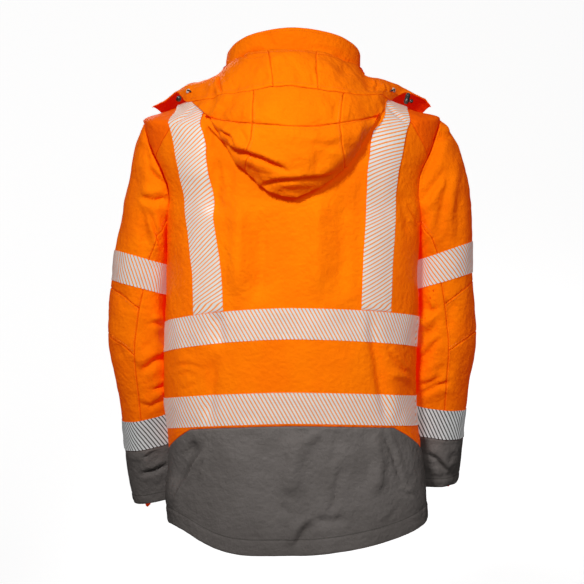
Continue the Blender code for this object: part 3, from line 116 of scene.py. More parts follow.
class Table:
    """Named columns over a first key column, read by a smooth curve that never overshoots."""

    def __init__(self, header: tuple[str, ...], rows: tuple[Row, ...] | Array) -> None:
        """Store the rows by column.

        Args:
            header: Column names; the first column is the key.
            rows: One row of numbers per key, keys rising.
        """
        grid = np.array(rows, dtype=float)
        self.keys = grid[:, 0]
        self.columns = {name: grid[:, index] for index, name in enumerate(header)}
        self.slopes = {name: self._slopes(column) for name, column in self.columns.items()}

    def _slopes(self, column: Array) -> Array:
        """Slope of a column at each key.

        Args:
            column: Values at the keys.

        Returns:
            The slopes, zero where the column turns round.
        """
        rise = np.diff(column) / np.diff(self.keys)
        slopes = np.empty_like(column)
        slopes[0] = rise[0]
        slopes[-1] = rise[-1]
        product = rise[:-1] * rise[1:]
        total = np.where(product > 0.0, rise[:-1] + rise[1:], 1.0)
        slopes[1:-1] = np.where(product > 0.0, 2.0 * product / total, 0.0)
        return slopes

    def at(self, name: str, key: Array | float) -> Array:
        """Value of one column.

        Args:
            name: The column.
            key: One key or an array of them.

        Returns:
            The values, in the shape of the keys.
        """
        key = np.clip(np.asarray(key, dtype=float), self.keys[0], self.keys[-1])
        span = np.clip(np.searchsorted(self.keys, key, side="right") - 1, 0, len(self.keys) - 2)
        width = self.keys[span + 1] - self.keys[span]
        part = (key - self.keys[span]) / width
        column = self.columns[name]
        slopes = self.slopes[name]
        value = (2.0 * part ** 3 - 3.0 * part ** 2 + 1.0) * column[span]
        value += (part ** 3 - 2.0 * part ** 2 + part) * width * slopes[span]
        value += (3.0 * part ** 2 - 2.0 * part ** 3) * column[span + 1]
        value += (part ** 3 - part ** 2) * width * slopes[span + 1]
        return value

    def point(self, prefix: str, key: Array | float) -> Array:
        """Three columns named prefix_x, prefix_y and prefix_z as points."""
        return np.stack([self.at(prefix + axis, key) for axis in ("_x", "_y", "_z")], axis=-1)


def unit(vectors: Array) -> Array:
    """Vectors scaled to length one."""
    return vectors / np.maximum(np.linalg.norm(vectors, axis=-1, keepdims=True), 1e-12)


def ease(value: Array | float) -> Array:
    """Smooth step from 0 to 1."""
    value = np.clip(value, 0.0, 1.0)
    return value * value * (3.0 - 2.0 * value)


def superellipse(cosine: Array, sine: Array, square: Array | float) -> Array:
    """Reach of a rounded-square ring of radius one in a direction."""
    return (np.abs(cosine) ** square + np.abs(sine) ** square) ** (-1.0 / square)


def lattice_noise(points: Array, size: float, seed: int) -> Array:
    """Soft noise from -1 to 1 that changes over cubes of one size.

    Args:
        points: Places, with x, y and z in the last axis.
        size: Edge of a cube in metres.
        seed: Number of the noise.

    Returns:
        One value for each place.
    """
    cells = points / size
    base = np.floor(cells).astype(np.int64)
    part = ease(cells - base)
    total = np.zeros(points.shape[:-1])
    for corner in np.ndindex(2, 2, 2):
        place = base + np.array(corner)
        code = np.bitwise_xor.reduce(place * np.array(CUBE_FACTORS), axis=-1)
        code = (code + seed * SEED_FACTOR) & LOW_BITS
        code = ((code ^ (code >> 13)) * SCRAMBLE_FACTOR) & LOW_BITS
        code = code ^ (code >> 16)
        weight = np.prod(np.where(np.array(corner), part, 1.0 - part), axis=-1)
        total += weight * (2.0 * (code % NOISE_STEPS) / NOISE_STEPS - 1.0)
    return total


def surface_normals(surface: Callable[[Array, Array], Array], first: Array, second: Array,
                    step: float = SLOPE_STEP) -> Array:
    """Unit normals of a two-way surface, from its own slopes.

    Args:
        surface: Function of two arrays that gives points.
        first: First way.
        second: Second way.
        step: Small step of both ways.

    Returns:
        The normals.
    """
    along = surface(first + step, second) - surface(first - step, second)
    across = surface(first, second + step) - surface(first, second - step)
    return unit(np.cross(along, across))


def spread(length: float, cell: float = CELL, low: bool = True, high: bool = True) -> Array:
    """Shares from 0 to 1 across a piece, with the close border lines at its sewn ends.

    Args:
        length: Size of the piece that way, in metres.
        cell: Spacing in the middle.
        low: True for border lines at 0.
        high: True for border lines at 1.

    Returns:
        The shares, rising.
    """
    lines = np.array(BORDER_LINES)
    start = np.concatenate([[0.0], lines]) if low else np.array([0.0])
    end = np.concatenate([length - lines[::-1], [length]]) if high else np.array([length])
    count = max(int(math.ceil((end[0] - start[-1]) / cell)), 1)
    middle = np.linspace(start[-1], end[0], count + 1)[1:-1]
    return np.concatenate([start, middle, end]) / length


# ------------------------------------------------------------------ folds in the cloth


class Face(Enum):
    """The side of the garment that a fold lies on."""

    BACK = 1.0
    FRONT = -1.0


class FoldShape(Enum):
    """The cross profile of a fold."""

    RIDGE = "ridge"
    TROUGH = "trough"
    CREASE = "crease"
    LAP = "lap"


RIDGE, TROUGH, CREASE, LAP = FoldShape

# The valley of a crease in widths, and the height and place of the banks beside it
CREASE_VALLEY = 0.5
CREASE_BANKS = ((0.75, 1.1), (0.35, -1.2))

# How far a fold reaches in widths, how it fades at its ends, and which cloth it shows on
FOLD_REACH = 3.5
FOLD_FADE = 0.3
FOLD_START = 0.12
LEAST_FACING = 0.05
FULL_FACING = 0.35


@dataclass(frozen=True)
class Fold:
    """One fold: a line over the cloth, seen square on, with its width and depth."""

    path: tuple[tuple[float, float], ...]
    width: float
    depth: float
    shape: FoldShape = CREASE
    face: Face = Face.BACK

    def profile(self, across: Array) -> Array:
        """Height of the fold at distances across it, in widths."""
        if self.shape is RIDGE:
            return np.exp(-across ** 2)
        if self.shape is TROUGH:
            return -np.exp(-across ** 2)
        if self.shape is LAP:
            return across * np.exp(0.5 - 0.5 * across ** 2)
        valley = np.exp(-(across / CREASE_VALLEY) ** 2)
        high, low = (share * np.exp(-(across - place) ** 2) for share, place in CREASE_BANKS)
        return high + low - valley

    def offset(self, flat: Array, facing: Array) -> Array:
        """Height of the fold over the cloth.

        Args:
            flat: Places as x and z.
            facing: How far the cloth faces the back, from -1 to 1.

        Returns:
            The heights along the cloth's normal.
        """
        line = np.array(self.path)
        reach = FOLD_REACH * self.width
        near = np.all((flat > line.min(axis=0) - reach) & (flat < line.max(axis=0) + reach), axis=-1)
        near &= facing * self.face.value > LEAST_FACING
        result = np.zeros(len(flat))
        if not near.any():
            return result
        spots = flat[near]
        best = np.full(len(spots), np.inf)
        signed = np.zeros(len(spots))
        place = np.zeros(len(spots))
        lengths = np.linalg.norm(np.diff(line, axis=0), axis=1)
        done = 0.0
        for start, step, length in zip(line[:-1], np.diff(line, axis=0), lengths):
            away = spots - start
            share = np.clip(away @ step / length ** 2, 0.0, 1.0)
            gap = np.linalg.norm(away - share[:, None] * step, axis=1)
            side = np.sign(step[0] * away[:, 1] - step[1] * away[:, 0])
            closer = gap < best
            best = np.where(closer, gap, best)
            signed = np.where(closer, gap * side, signed)
            place = np.where(closer, (done + share * length) / lengths.sum(), place)
            done += length
        ends = ease(place / FOLD_FADE + FOLD_START) * ease((1.0 - place) / FOLD_FADE + FOLD_START)
        beyond = np.exp(-np.maximum(best - np.abs(signed), 0.0) / self.width)
        turned = ease(facing[near] * self.face.value / FULL_FACING)
        result[near] = self.depth * self.profile(signed / self.width) * ends * beyond * turned
        return result


@dataclass(frozen=True)
class Ripple:
    """Soft unevenness: its size and height, and how far it is drawn out up and down."""

    size: float
    height: float
    drawn: float = 1.0


@dataclass(frozen=True)
class Swell:
    """A soft fullness or hollow about one place."""

    place: tuple[float, float, float]
    reach: tuple[float, float, float]
    height: float

    def offset(self, places: Array) -> Array:
        """Height of the fullness at places."""
        away = (places - np.array(self.place)) / np.array(self.reach)
        return self.height * np.exp(-(away ** 2).sum(axis=-1))


@dataclass(frozen=True)
class Relief:
    """Every fold and ripple of one stretch of cloth."""

    folds: tuple[Fold, ...] = ()
    ripples: tuple[Ripple, ...] = ()
    swells: tuple[Swell, ...] = ()
    seed: int = 1
    strength: float = 1.0
    wander: float = 0.0022
    wander_size: float = 0.028
    calm_front: float = 0.0
    calm_gap: float = 0.010
    any_face: bool = False
    taped: tuple[tuple[float, float], ...] = ()
    tape_hold: float = 0.4
    tape_margin: float = 0.008
    tape_ramp: float = 0.012

    def offset(self, points: Array, normals: Array) -> Array:
        """Height of the relief along the normals.

        Args:
            points: Places on the smooth surface.
            normals: Its normals.

        Returns:
            One height for each place.
        """
        places = points.reshape(-1, 3)
        facing = np.ones(len(places)) if self.any_face else normals.reshape(-1, 3)[:, 1]
        warp = [lattice_noise(places, self.wander_size, self.seed + index) for index in WANDER_SEEDS]
        flat = places[:, [0, 2]] + self.wander * np.stack(warp, axis=-1)
        total = np.zeros(len(places))
        for fold in self.folds:
            total += self.strength * fold.offset(flat, facing)
        for low, high in self.taped:
            above = ease((places[:, 2] - low + self.tape_margin) / self.tape_ramp)
            below = ease((high + self.tape_margin - places[:, 2]) / self.tape_ramp)
            total *= 1.0 - self.tape_hold * above * below
        for swell in self.swells:
            total += swell.offset(places)
        for index, ripple in enumerate(self.ripples):
            drawn = places * np.array([1.0, 1.0, 1.0 / ripple.drawn])
            total += ripple.height * lattice_noise(drawn, ripple.size, self.seed + RIPPLE_SEED + index)
        if self.calm_front:
            beside = ease((np.abs(places[:, 0]) - self.calm_gap) / self.calm_front)
            total *= np.where(places[:, 1] < 0.0, beside, 1.0)
        return total.reshape(points.shape[:-1])


def folds(*rows: tuple) -> tuple[Fold, ...]:
    """Folds from rows of numbers in millimetres.

    Args:
        rows: Shape, width and depth, then x and z of each place on the fold's line.

    Returns:
        The folds.
    """
    return tuple(Fold(tuple((x / MILLIMETRES, z / MILLIMETRES) for x, z in places),
                      width / MILLIMETRES, depth / MILLIMETRES, shape)
                 for shape, width, depth, *places in rows)


# Shape, width, depth, then x and z along the line
HOOD_FOLDS = folds(
    (CREASE, 4.0, 3.5, (120, 16), (119, -2), (115, -22)),
    (TROUGH, 6.0, 2.2, (15, 49), (3, 30), (-18, -1)),
    (LAP, 8.0, 2.4, (-78, -4), (-90, 12), (-100, 22)),
    (CREASE, 4.5, 2.0, (92, 50), (70, 41), (50, 41)),
    (TROUGH, 7.0, 1.6, (60, 30), (45, 12), (40, -4)),
    (RIDGE, 6.0, 2.0, (-52, 30), (-70, 12), (-90, 2)),
    (RIDGE, 6.0, 2.2, (135, 2), (128, -12)),
    (TROUGH, 6.0, 1.4, (60, -24), (52, -48), (55, -66)),
    (RIDGE, 8.0, 1.2, (-20, -30), (-30, -58)),
    (TROUGH, 5.0, 2.4, (-31, 9), (-37, -11)),
    (TROUGH, 8.0, 1.4, (102, 6), (94, -16)),
    (LAP, 3.0, 1.6, (-139, 12), (-133, -12)),
    (CREASE, 4.0, 2.5, (-152, 6), (-158, -10)),
    (TROUGH, 1.6, 1.1, (39, 51), (36, 21), (32, -8)),
    (TROUGH, 1.6, 1.1, (-42, 47), (-40, 18), (-39, -12)),
    (TROUGH, 6.0, 1.6, (26, 38), (23, -4)),
    (LAP, 6.0, 2.6, (90, -27), (112, -41), (128, -63)),
    (TROUGH, 6.0, 2.6, (-78, -30), (-65, -70)),
    (RIDGE, 2.0, 1.0, (-97, -28), (-88, -66)),
    (TROUGH, 12.0, 2.2, (-122, -29), (-119, -58)),
    (TROUGH, 8.0, 1.2, (11, -36), (3, -65)),
    (CREASE, 8.0, 8.0, (3, -149), (47, -130), (85, -117), (112, -102)),
    (CREASE, 5.0, 3.8, (86, -111), (102, -92), (121, -80)),
    (TROUGH, 4.0, 2.0, (84, -79), (78, -93), (70, -110)),
    (TROUGH, 6.0, 1.4, (47, -100), (25, -84)),
    (LAP, 7.0, 2.2, (-77, -100), (-51, -104), (-25, -102)),
    (LAP, 6.0, 1.6, (-28, -86), (-54, -78)),
    (CREASE, 7.0, 4.8, (-76, -149), (-44, -157), (11, -162), (56, -173)),
    (RIDGE, 9.0, 2.6, (-48, -156), (-73, -130), (-95, -107)),
    (TROUGH, 10.0, 2.8, (-41, -113), (-41, -152)),
)
BACK_FOLDS = folds(
    (TROUGH, 5.0, 2.8, (130, -65), (134, -87), (138, -113)),
    (TROUGH, 13.0, 5.1, (119, -121), (124, -168), (127, -221)),
    (TROUGH, 8.0, 2.2, (98, -132), (103, -192)),
    (RIDGE, 14.0, 5.1, (84, -184), (85, -272), (87, -353)),
    (TROUGH, 12.0, 3.2, (45, -211), (50, -289), (55, -359)),
    (RIDGE, 14.0, 3.6, (-42, -184), (-40, -272), (-40, -353)),
    (TROUGH, 16.0, 3.6, (-87, -168), (-84, -256), (-80, -359)),
    (TROUGH, 6.0, 1.6, (-108, -147), (-109, -353)),
    (CREASE, 6.0, 1.8, (-188, -188), (-196, -210), (-204, -232)),
    (TROUGH, 8.0, 2.4, (-180, -175), (-193, -248)),
    (TROUGH, 9.0, 3.6, (122, -372), (117, -433)),
    (TROUGH, 9.0, 4.5, (-125, -363), (-134, -425), (-151, -507), (-154, -559)),
    (TROUGH, 10.0, 3.3, (127, -437), (132, -504), (135, -559)),
    (CREASE, 6.0, 1.9, (-197, -477), (-171, -455), (-153, -435)),
    (RIDGE, 6.0, 2.4, (-155, -472), (-178, -476), (-198, -485)),
    (CREASE, 7.0, 1.3, (147, -467), (168, -459), (190, -459)),
    (CREASE, 6.0, 1.1, (155, -479), (169, -471), (187, -477)),
    (CREASE, 6.0, 1.0, (152, -487), (178, -500)),
    (RIDGE, 2.6, 1.8, (136, -561), (140, -603), (150, -655)),
    (RIDGE, 3.4, 3.0, (139, -584), (165, -636), (196, -690)),
    (TROUGH, 11.0, 3.9, (149, -580), (175, -615), (196, -661)),
    (TROUGH, 4.0, 1.5, (159, -584), (175, -610)),
    (RIDGE, 16.0, 3.6, (-13, -565), (0, -626), (6, -675)),
    (RIDGE, 6.0, 1.8, (-45, -567), (-16, -583)),
    (TROUGH, 5.0, 2.4, (-82, -617), (-71, -659), (-61, -705)),
    (TROUGH, 8.0, 1.4, (-74, -562), (-64, -626)),
    (RIDGE, 10.0, 3.6, (-132, -565), (-140, -610), (-135, -675)),
    (CREASE, 6.0, 1.9, (-181, -651), (-169, -627), (-160, -595), (-147, -564)),
    (CREASE, 6.0, 1.2, (-199, -673), (-173, -664)),
    (TROUGH, 4.0, 1.6, (21, -681), (2, -699)),
    (LAP, 6.0, 2.2, (-31, -705), (-14, -723), (0, -752)),
    (TROUGH, 7.0, 2.4, (-35, -708), (-90, -710)),
    (CREASE, 6.0, 0.8, (-167, -695), (-149, -711)),
)
LEFT_SLEEVE_FOLDS = folds(
    (RIDGE, 5.5, 3.0, (248, -77), (235, -112), (208, -159)),
    (TROUGH, 8.8, 3.7, (251, -90), (236, -127)),
    (CREASE, 7.5, 5.0, (203, -170), (223, -149), (241, -132)),
    (CREASE, 11.2, 7.5, (201, -185), (230, -189), (253, -185)),
    (TROUGH, 8.8, 5.0, (245, -195), (245, -237), (241, -282)),
    (CREASE, 6.4, 4.2, (235, -208), (225, -240), (216, -277)),
    (TROUGH, 11.0, 2.5, (260, -129), (261, -263)),
    (CREASE, 8.3, 5.5, (205, -392), (220, -395), (237, -392)),
    (TROUGH, 8.8, 4.2, (224, -403), (205, -432)),
    (CREASE, 12.2, 8.1, (205, -445), (232, -457), (252, -474)),
    (CREASE, 7.5, 5.0, (206, -491), (221, -502), (236, -507)),
    (CREASE, 8.6, 5.7, (208, -509), (221, -524), (238, -534), (260, -528)),
    (TROUGH, 6.6, 3.0, (252, -427), (219, -442)),
    (TROUGH, 8.8, 3.0, (294, -335), (276, -375)),
    (TROUGH, 6.6, 2.5, (292, -425), (286, -452)),
    (TROUGH, 13.2, 2.5, (275, -437), (276, -541)),
    (CREASE, 7.5, 5.0, (209, -633), (237, -647), (263, -652)),
    (CREASE, 5.0, 2.5, (231, -611), (259, -625)),
    (RIDGE, 6.6, 2.5, (275, -618), (239, -630)),
)
RIGHT_SLEEVE_FOLDS = folds(
    (CREASE, 10.3, 6.9, (-266, -79), (-248, -82), (-235, -90)),
    (TROUGH, 6.6, 4.5, (-243, -102), (-226, -129), (-215, -160)),
    (TROUGH, 7.7, 5.2, (-258, -132), (-240, -157), (-213, -192)),
    (RIDGE, 7.7, 4.2, (-258, -149), (-236, -180), (-216, -210)),
    (TROUGH, 7.7, 4.5, (-265, -127), (-251, -179), (-241, -250)),
    (RIDGE, 8.8, 3.7, (-281, -100), (-268, -162), (-260, -223)),
    (TROUGH, 8.8, 4.5, (-273, -167), (-276, -273)),
    (CREASE, 12.2, 8.1, (-244, -362), (-232, -375), (-219, -357)),
    (RIDGE, 6.6, 5.7, (-242, -372), (-225, -397), (-210, -383)),
    (CREASE, 6.0, 4.0, (-240, -328), (-230, -352)),
    (TROUGH, 8.8, 6.3, (-250, -372), (-235, -400), (-219, -427)),
    (CREASE, 8.6, 5.7, (-247, -415), (-229, -440), (-210, -452)),
    (TROUGH, 8.8, 4.2, (-269, -352), (-259, -405)),
    (RIDGE, 7.7, 4.5, (-254, -452), (-232, -464), (-209, -475)),
    (CREASE, 10.5, 7.0, (-253, -479), (-234, -491), (-211, -499)),
    (CREASE, 9.4, 6.3, (-270, -491), (-245, -497), (-211, -513)),
    (TROUGH, 11.0, 2.5, (-291, -429), (-286, -524)),
    (CREASE, 9.4, 6.3, (-266, -649), (-246, -623), (-225, -615)),
    (CREASE, 4.5, 3.0, (-246, -635), (-229, -626)),
    (TROUGH, 4.4, 2.2, (-232, -654), (-283, -654)),
    (TROUGH, 5.5, 3.0, (-263, -630), (-280, -615)),
)


COLLAR_FOLDS = folds(
    (TROUGH, 8.0, 2.2, (35, 58), (42, 86)),
    (CREASE, 6.0, 1.6, (-30, 62), (-78, 54)),
    (TROUGH, 6.0, 2.4, (-66, 52), (-104, 32)),
    (TROUGH, 5.0, 5.8, (96, 30), (88, 40), (68, 50), (42, 57)),
    (CREASE, 5.0, 2.6, (104, 8), (99, 32)),
)

YOKE_SEAM_FOLDS = folds(
    (TROUGH, 3.0, 1.4, (198, -71), (178, -58), (150, -32)),
    (TROUGH, 3.0, 1.4, (-188, -66), (-170, -50), (-150, -34)),
)

FRONT_DROP = 0.006
FRONT_SOFTNESS = 0.8


def front_folds(back: tuple[Fold, ...], clear: float) -> tuple[Fold, ...]:
    """The same kind of folds on the unseen front, mirrored and a little softer.

    Args:
        back: Folds of the back.
        clear: Half-width beside the middle that stays free of folds.

    Returns:
        The front's folds.
    """
    kept = [fold for fold in back if min(abs(x) for x, _ in fold.path) > clear]
    return tuple(replace(fold, path=tuple((-x, z - FRONT_DROP) for x, z in fold.path),
                         depth=FRONT_SOFTNESS * fold.depth, face=Face.FRONT) for fold in kept)


# ------------------------------------------------------------------ edges of a piece


@dataclass(frozen=True)
class Edge:
    """How one border of a cloth piece is finished."""

    dip: float = 0.0
    reach: float = 0.0022
    stitch: float = 0.0
    hem: float = 0.0
    hem_lift: float = 0.0
    pucker: float = 0.0

    def offset(self, distance: Array, points: Array) -> Array:
        """Height that the finish adds near the border.

        Args:
            distance: Distance from the border.
            points: Places, for the puckers.

        Returns:
            The heights along the normal.
        """
        height = -self.dip * np.exp(-(distance / self.reach) ** 2)
        if self.stitch:
            line = BORDER_LINES[STITCH_LINE - 1]
            height = height - self.stitch * np.exp(-((distance - line) / STITCH_REACH) ** 2)
        if self.hem:
            height = height + self.hem_lift * ease((self.hem - distance) / HEM_RAMP)
            groove = np.exp(-((distance - self.hem) / HEM_GROOVE) ** 2)
            height = height - 0.5 * self.hem_lift * groove
        if self.pucker:
            gathers = lattice_noise(points, PUCKER_SIZE, PUCKER_SEED)
            height = height + self.pucker * gathers * np.exp(-distance / PUCKER_REACH)
        return height


FREE = Edge()
SEAM = Edge(dip=0.0013, reach=0.0014, pucker=0.00055)
TOPSTITCHED = Edge(dip=0.0013, reach=0.0014, stitch=0.0005, pucker=0.0009)
ARMHOLE = Edge(dip=0.0013, reach=0.0018, stitch=0.0005, pucker=0.0010)
DART = Edge(dip=0.0013, reach=0.0013, pucker=0.0008)
BOTTOM_HEM = Edge(dip=0.0008, hem=0.026, hem_lift=0.0011, pucker=0.0008)
CUFF_HEM = Edge(dip=0.0008, hem=0.016, hem_lift=0.0009, pucker=0.0006)
CASING = Edge(dip=0.0010, hem=0.020, hem_lift=0.0006, pucker=0.0008)
HIDDEN = Edge(dip=0.0006)
ROLLED = Edge(dip=-0.0020, reach=0.008, pucker=0.0010)


# ------------------------------------------------------------------ shader groups


class Graph:
    """A hand for wiring one shader node tree."""

    def __init__(self, tree: bpy.types.NodeTree) -> None:
        """Take the tree to wire."""
        self.tree = tree

    def node(self, kind: str) -> bpy.types.Node:
        """A new node of a kind."""
        return self.tree.nodes.new("ShaderNode" + kind)

    def feed(self, target: Socket, source: Socket | float | Colour) -> None:
        """Link or set one input.

        Args:
            target: The input.
            source: A socket to link, or a plain value.
        """
        if isinstance(source, bpy.types.NodeSocket):
            self.tree.links.new(source, target)
        elif isinstance(source, tuple) and target.type == "RGBA":
            target.default_value = (*source, 1.0)
        else:
            target.default_value = source

    def math(self, operation: str, first: Socket | float, second: Socket | float = 0.0) -> Socket:
        """The result of one sum.

        Args:
            operation: Name of the Math node's operation.
            first: First number.
            second: Second number.

        Returns:
            The result's socket.
        """
        node = self.node("Math")
        node.operation = operation
        self.feed(node.inputs[0], first)
        self.feed(node.inputs[1], second)
        return node.outputs[0]

    def between(self, value: Socket, low: float, high: float, start: float, end: float) -> Socket:
        """A value carried smoothly from one range to another.

        Args:
            value: The number.
            low: Where the first range starts.
            high: Where the first range ends.
            start: Result at low.
            end: Result at high.

        Returns:
            The result's socket.
        """
        node = self.node("MapRange")
        node.interpolation_type = "SMOOTHSTEP"
        for name, number in (("Value", value), ("From Min", low), ("From Max", high),
                             ("To Min", start), ("To Max", end)):
            self.feed(node.inputs[name], number)
        return node.outputs["Result"]

    def mix(self, share: Socket | float, first: Socket | Colour, second: Socket | Colour) -> Socket:
        """A colour between two.

        Args:
            share: 0 for the first colour and 1 for the second.
            first: First colour.
            second: Second colour.

        Returns:
            The mixed colour's socket.
        """
        node = self.node("Mix")
        node.data_type = "RGBA"
        self.feed(node.inputs[0], share)
        self.feed(node.inputs[6], first)
        self.feed(node.inputs[7], second)
        return node.outputs[2]

    def parts(self, vector: Socket) -> tuple[Socket, Socket, Socket]:
        """The three numbers of a vector."""
        node = self.node("SeparateXYZ")
        self.feed(node.inputs[0], vector)
        return node.outputs[0], node.outputs[1], node.outputs[2]

    def noise(self, vector: Socket, scale: Socket | float, detail: float = 2.0) -> Socket:
        """Noise from 0 to 1 at a place.

        Args:
            vector: The place.
            scale: Cells in a metre.
            detail: Number of finer layers.

        Returns:
            The noise's socket.
        """
        node = self.node("TexNoise")
        node.inputs["Detail"].default_value = detail
        self.feed(node.inputs["Vector"], vector)
        self.feed(node.inputs["Scale"], scale)
        return node.outputs["Fac"]


def start_group(name: str, inputs: dict[str, str],
                outputs: dict[str, str]) -> tuple[Graph, dict[str, Socket], dict[str, Socket]]:
    """A new shader node group.

    Args:
        name: Its name.
        inputs: Socket kinds by input name.
        outputs: Socket kinds by output name.

    Returns:
        The group's graph, its input sockets and its output sockets by name.
    """
    tree = bpy.data.node_groups.new(name, "ShaderNodeTree")
    for label, kind in inputs.items():
        tree.interface.new_socket(label, in_out="INPUT", socket_type="NodeSocket" + kind)
    for label, kind in outputs.items():
        tree.interface.new_socket(label, in_out="OUTPUT", socket_type="NodeSocket" + kind)
    graph = Graph(tree)
    entry = tree.nodes.new("NodeGroupInput")
    leave = tree.nodes.new("NodeGroupOutput")
    return graph, dict(entry.outputs.items()), dict(leave.inputs.items())


# Noise cells in a metre or in a cloud, and where soft shades start and end: the painted shade in seam and
# hem grooves, and the band of wear and painted sheen beside a seam
SLUB_STRETCH = (1.0, 0.08, 1.0)
SLUB_CELLS = 900.0
CLOUD_EDGES = (0.3, 0.7)
CRUMPLES_IN_CLOUD = 9.0
SEAM_SHADE_EDGES = (0.60, 0.95)
HEM_SHADE_EDGES = (0.0005, 0.0013)
HEM_LINE_SHADE = 0.75
WEAR_AND_SHEEN_EDGES = (0.05, 0.6)
TOOTH_WIDTH = 0.00055
BAR_SOFTNESS = 0.03
BEAD_CELLS = 2600.0


def weave_group() -> bpy.types.NodeTree:
    """Plain weave: Height of the yarns and Slub, their unevenness, at a Place in metres.

    Returns:
        The group.
    """
    graph, given, made = start_group("Plain weave", {"Place": "Vector", "Yarn Pitch": "Float"},
                                     {"Height": "Float", "Slub": "Float"})
    across, down, _ = graph.parts(given["Place"])
    waves = []
    for way in (across, down):
        turns = graph.math("DIVIDE", way, given["Yarn Pitch"])
        waves.append(graph.math("SINE", graph.math("MULTIPLY", turns, math.pi)))
    crossing = graph.math("MULTIPLY", waves[0], waves[1])
    graph.feed(made["Height"], graph.math("ADD", graph.math("MULTIPLY", crossing, 0.5), 0.5))
    stretched = graph.node("VectorMath")
    stretched.operation = "MULTIPLY"
    graph.feed(stretched.inputs[0], given["Place"])
    stretched.inputs[1].default_value = SLUB_STRETCH
    graph.feed(made["Slub"], graph.noise(stretched.outputs[0], SLUB_CELLS, 3.0))
    return graph.tree


def mottle_group() -> bpy.types.NodeTree:
    """Slow change over the cloth: Cloud from 0 to 1, and Crumple, a fine height.

    Returns:
        The group.
    """
    graph, given, made = start_group("Cloth mottle", {"Place": "Vector", "Cells": "Float"},
                                     {"Cloud": "Float", "Crumple": "Float"})
    slow = graph.noise(given["Place"], given["Cells"], 3.0)
    graph.feed(made["Cloud"], graph.between(slow, *CLOUD_EDGES, 0.0, 1.0))
    fine = graph.math("MULTIPLY", given["Cells"], CRUMPLES_IN_CLOUD)
    graph.feed(made["Crumple"], graph.noise(given["Place"], fine, 4.0))
    return graph.tree


def seam_shade_and_sheen_group() -> bpy.types.NodeTree:
    """Painted shade and sheen of a sewn edge: painted shade in the seam's and hem's grooves, and an uneven
    band beside the seam that is partly wear and partly painted sheen.

    Returns:
        The group.
    """
    graph, given, made = start_group("Seam shade, wear and sheen", {"Seam": "Float", "Hem": "Float", "Cloud": "Float"},
                                     {"Line": "Float", "Wear And Sheen": "Float"})
    seam_shade = graph.between(given["Seam"], *SEAM_SHADE_EDGES, 0.0, 1.0)
    from_hem = graph.math("ABSOLUTE", given["Hem"])
    hem_shade = graph.between(from_hem, *HEM_SHADE_EDGES, HEM_LINE_SHADE, 0.0)
    graph.feed(made["Line"], graph.math("MAXIMUM", seam_shade, hem_shade))
    band = graph.between(given["Seam"], *WEAR_AND_SHEEN_EDGES, 0.0, 1.0)
    graph.feed(made["Wear And Sheen"], graph.math("MULTIPLY", band, given["Cloud"]))
    return graph.tree


def bars_group() -> bpy.types.NodeTree:
    """Diagonal bars of a segmented tape: Bar is 1 on a bar and 0 in a gap.

    Returns:
        The group.
    """
    inputs = {"Place": "Vector", "Across": "Vector", "Pitch": "Float", "Bar Share": "Float",
              "Tooth": "Float"}
    graph, given, made = start_group("Diagonal bars", inputs, {"Bar": "Float", "Grain": "Float"})
    along = graph.node("VectorMath")
    along.operation = "DOT_PRODUCT"
    graph.feed(along.inputs[0], given["Place"])
    graph.feed(along.inputs[1], given["Across"])
    teeth = graph.math("PINGPONG", graph.parts(given["Place"])[1], TOOTH_WIDTH)
    shifted = graph.math("ADD", along.outputs["Value"], graph.math("MULTIPLY", teeth, given["Tooth"]))
    part = graph.math("FRACT", graph.math("DIVIDE", shifted, given["Pitch"]))
    from_middle = graph.math("ABSOLUTE", graph.math("SUBTRACT", part, 0.5))
    edge = graph.math("MULTIPLY", given["Bar Share"], 0.5)
    inside = graph.math("SUBTRACT", edge, from_middle)
    graph.feed(made["Bar"], graph.between(inside, -BAR_SOFTNESS, BAR_SOFTNESS, 0.0, 1.0))
    graph.feed(made["Grain"], graph.noise(given["Place"], BEAD_CELLS, 1.0))
    return graph.tree


@dataclass(frozen=True)
class GroupSet:
    """The shader groups that the finishes share."""

    weave: bpy.types.NodeTree = field(default_factory=weave_group)
    mottle: bpy.types.NodeTree = field(default_factory=mottle_group)
    seam_shade_and_sheen: bpy.types.NodeTree = field(default_factory=seam_shade_and_sheen_group)
    bars: bpy.types.NodeTree = field(default_factory=bars_group)


GROUPS = GroupSet()


# ------------------------------------------------------------------ finishes


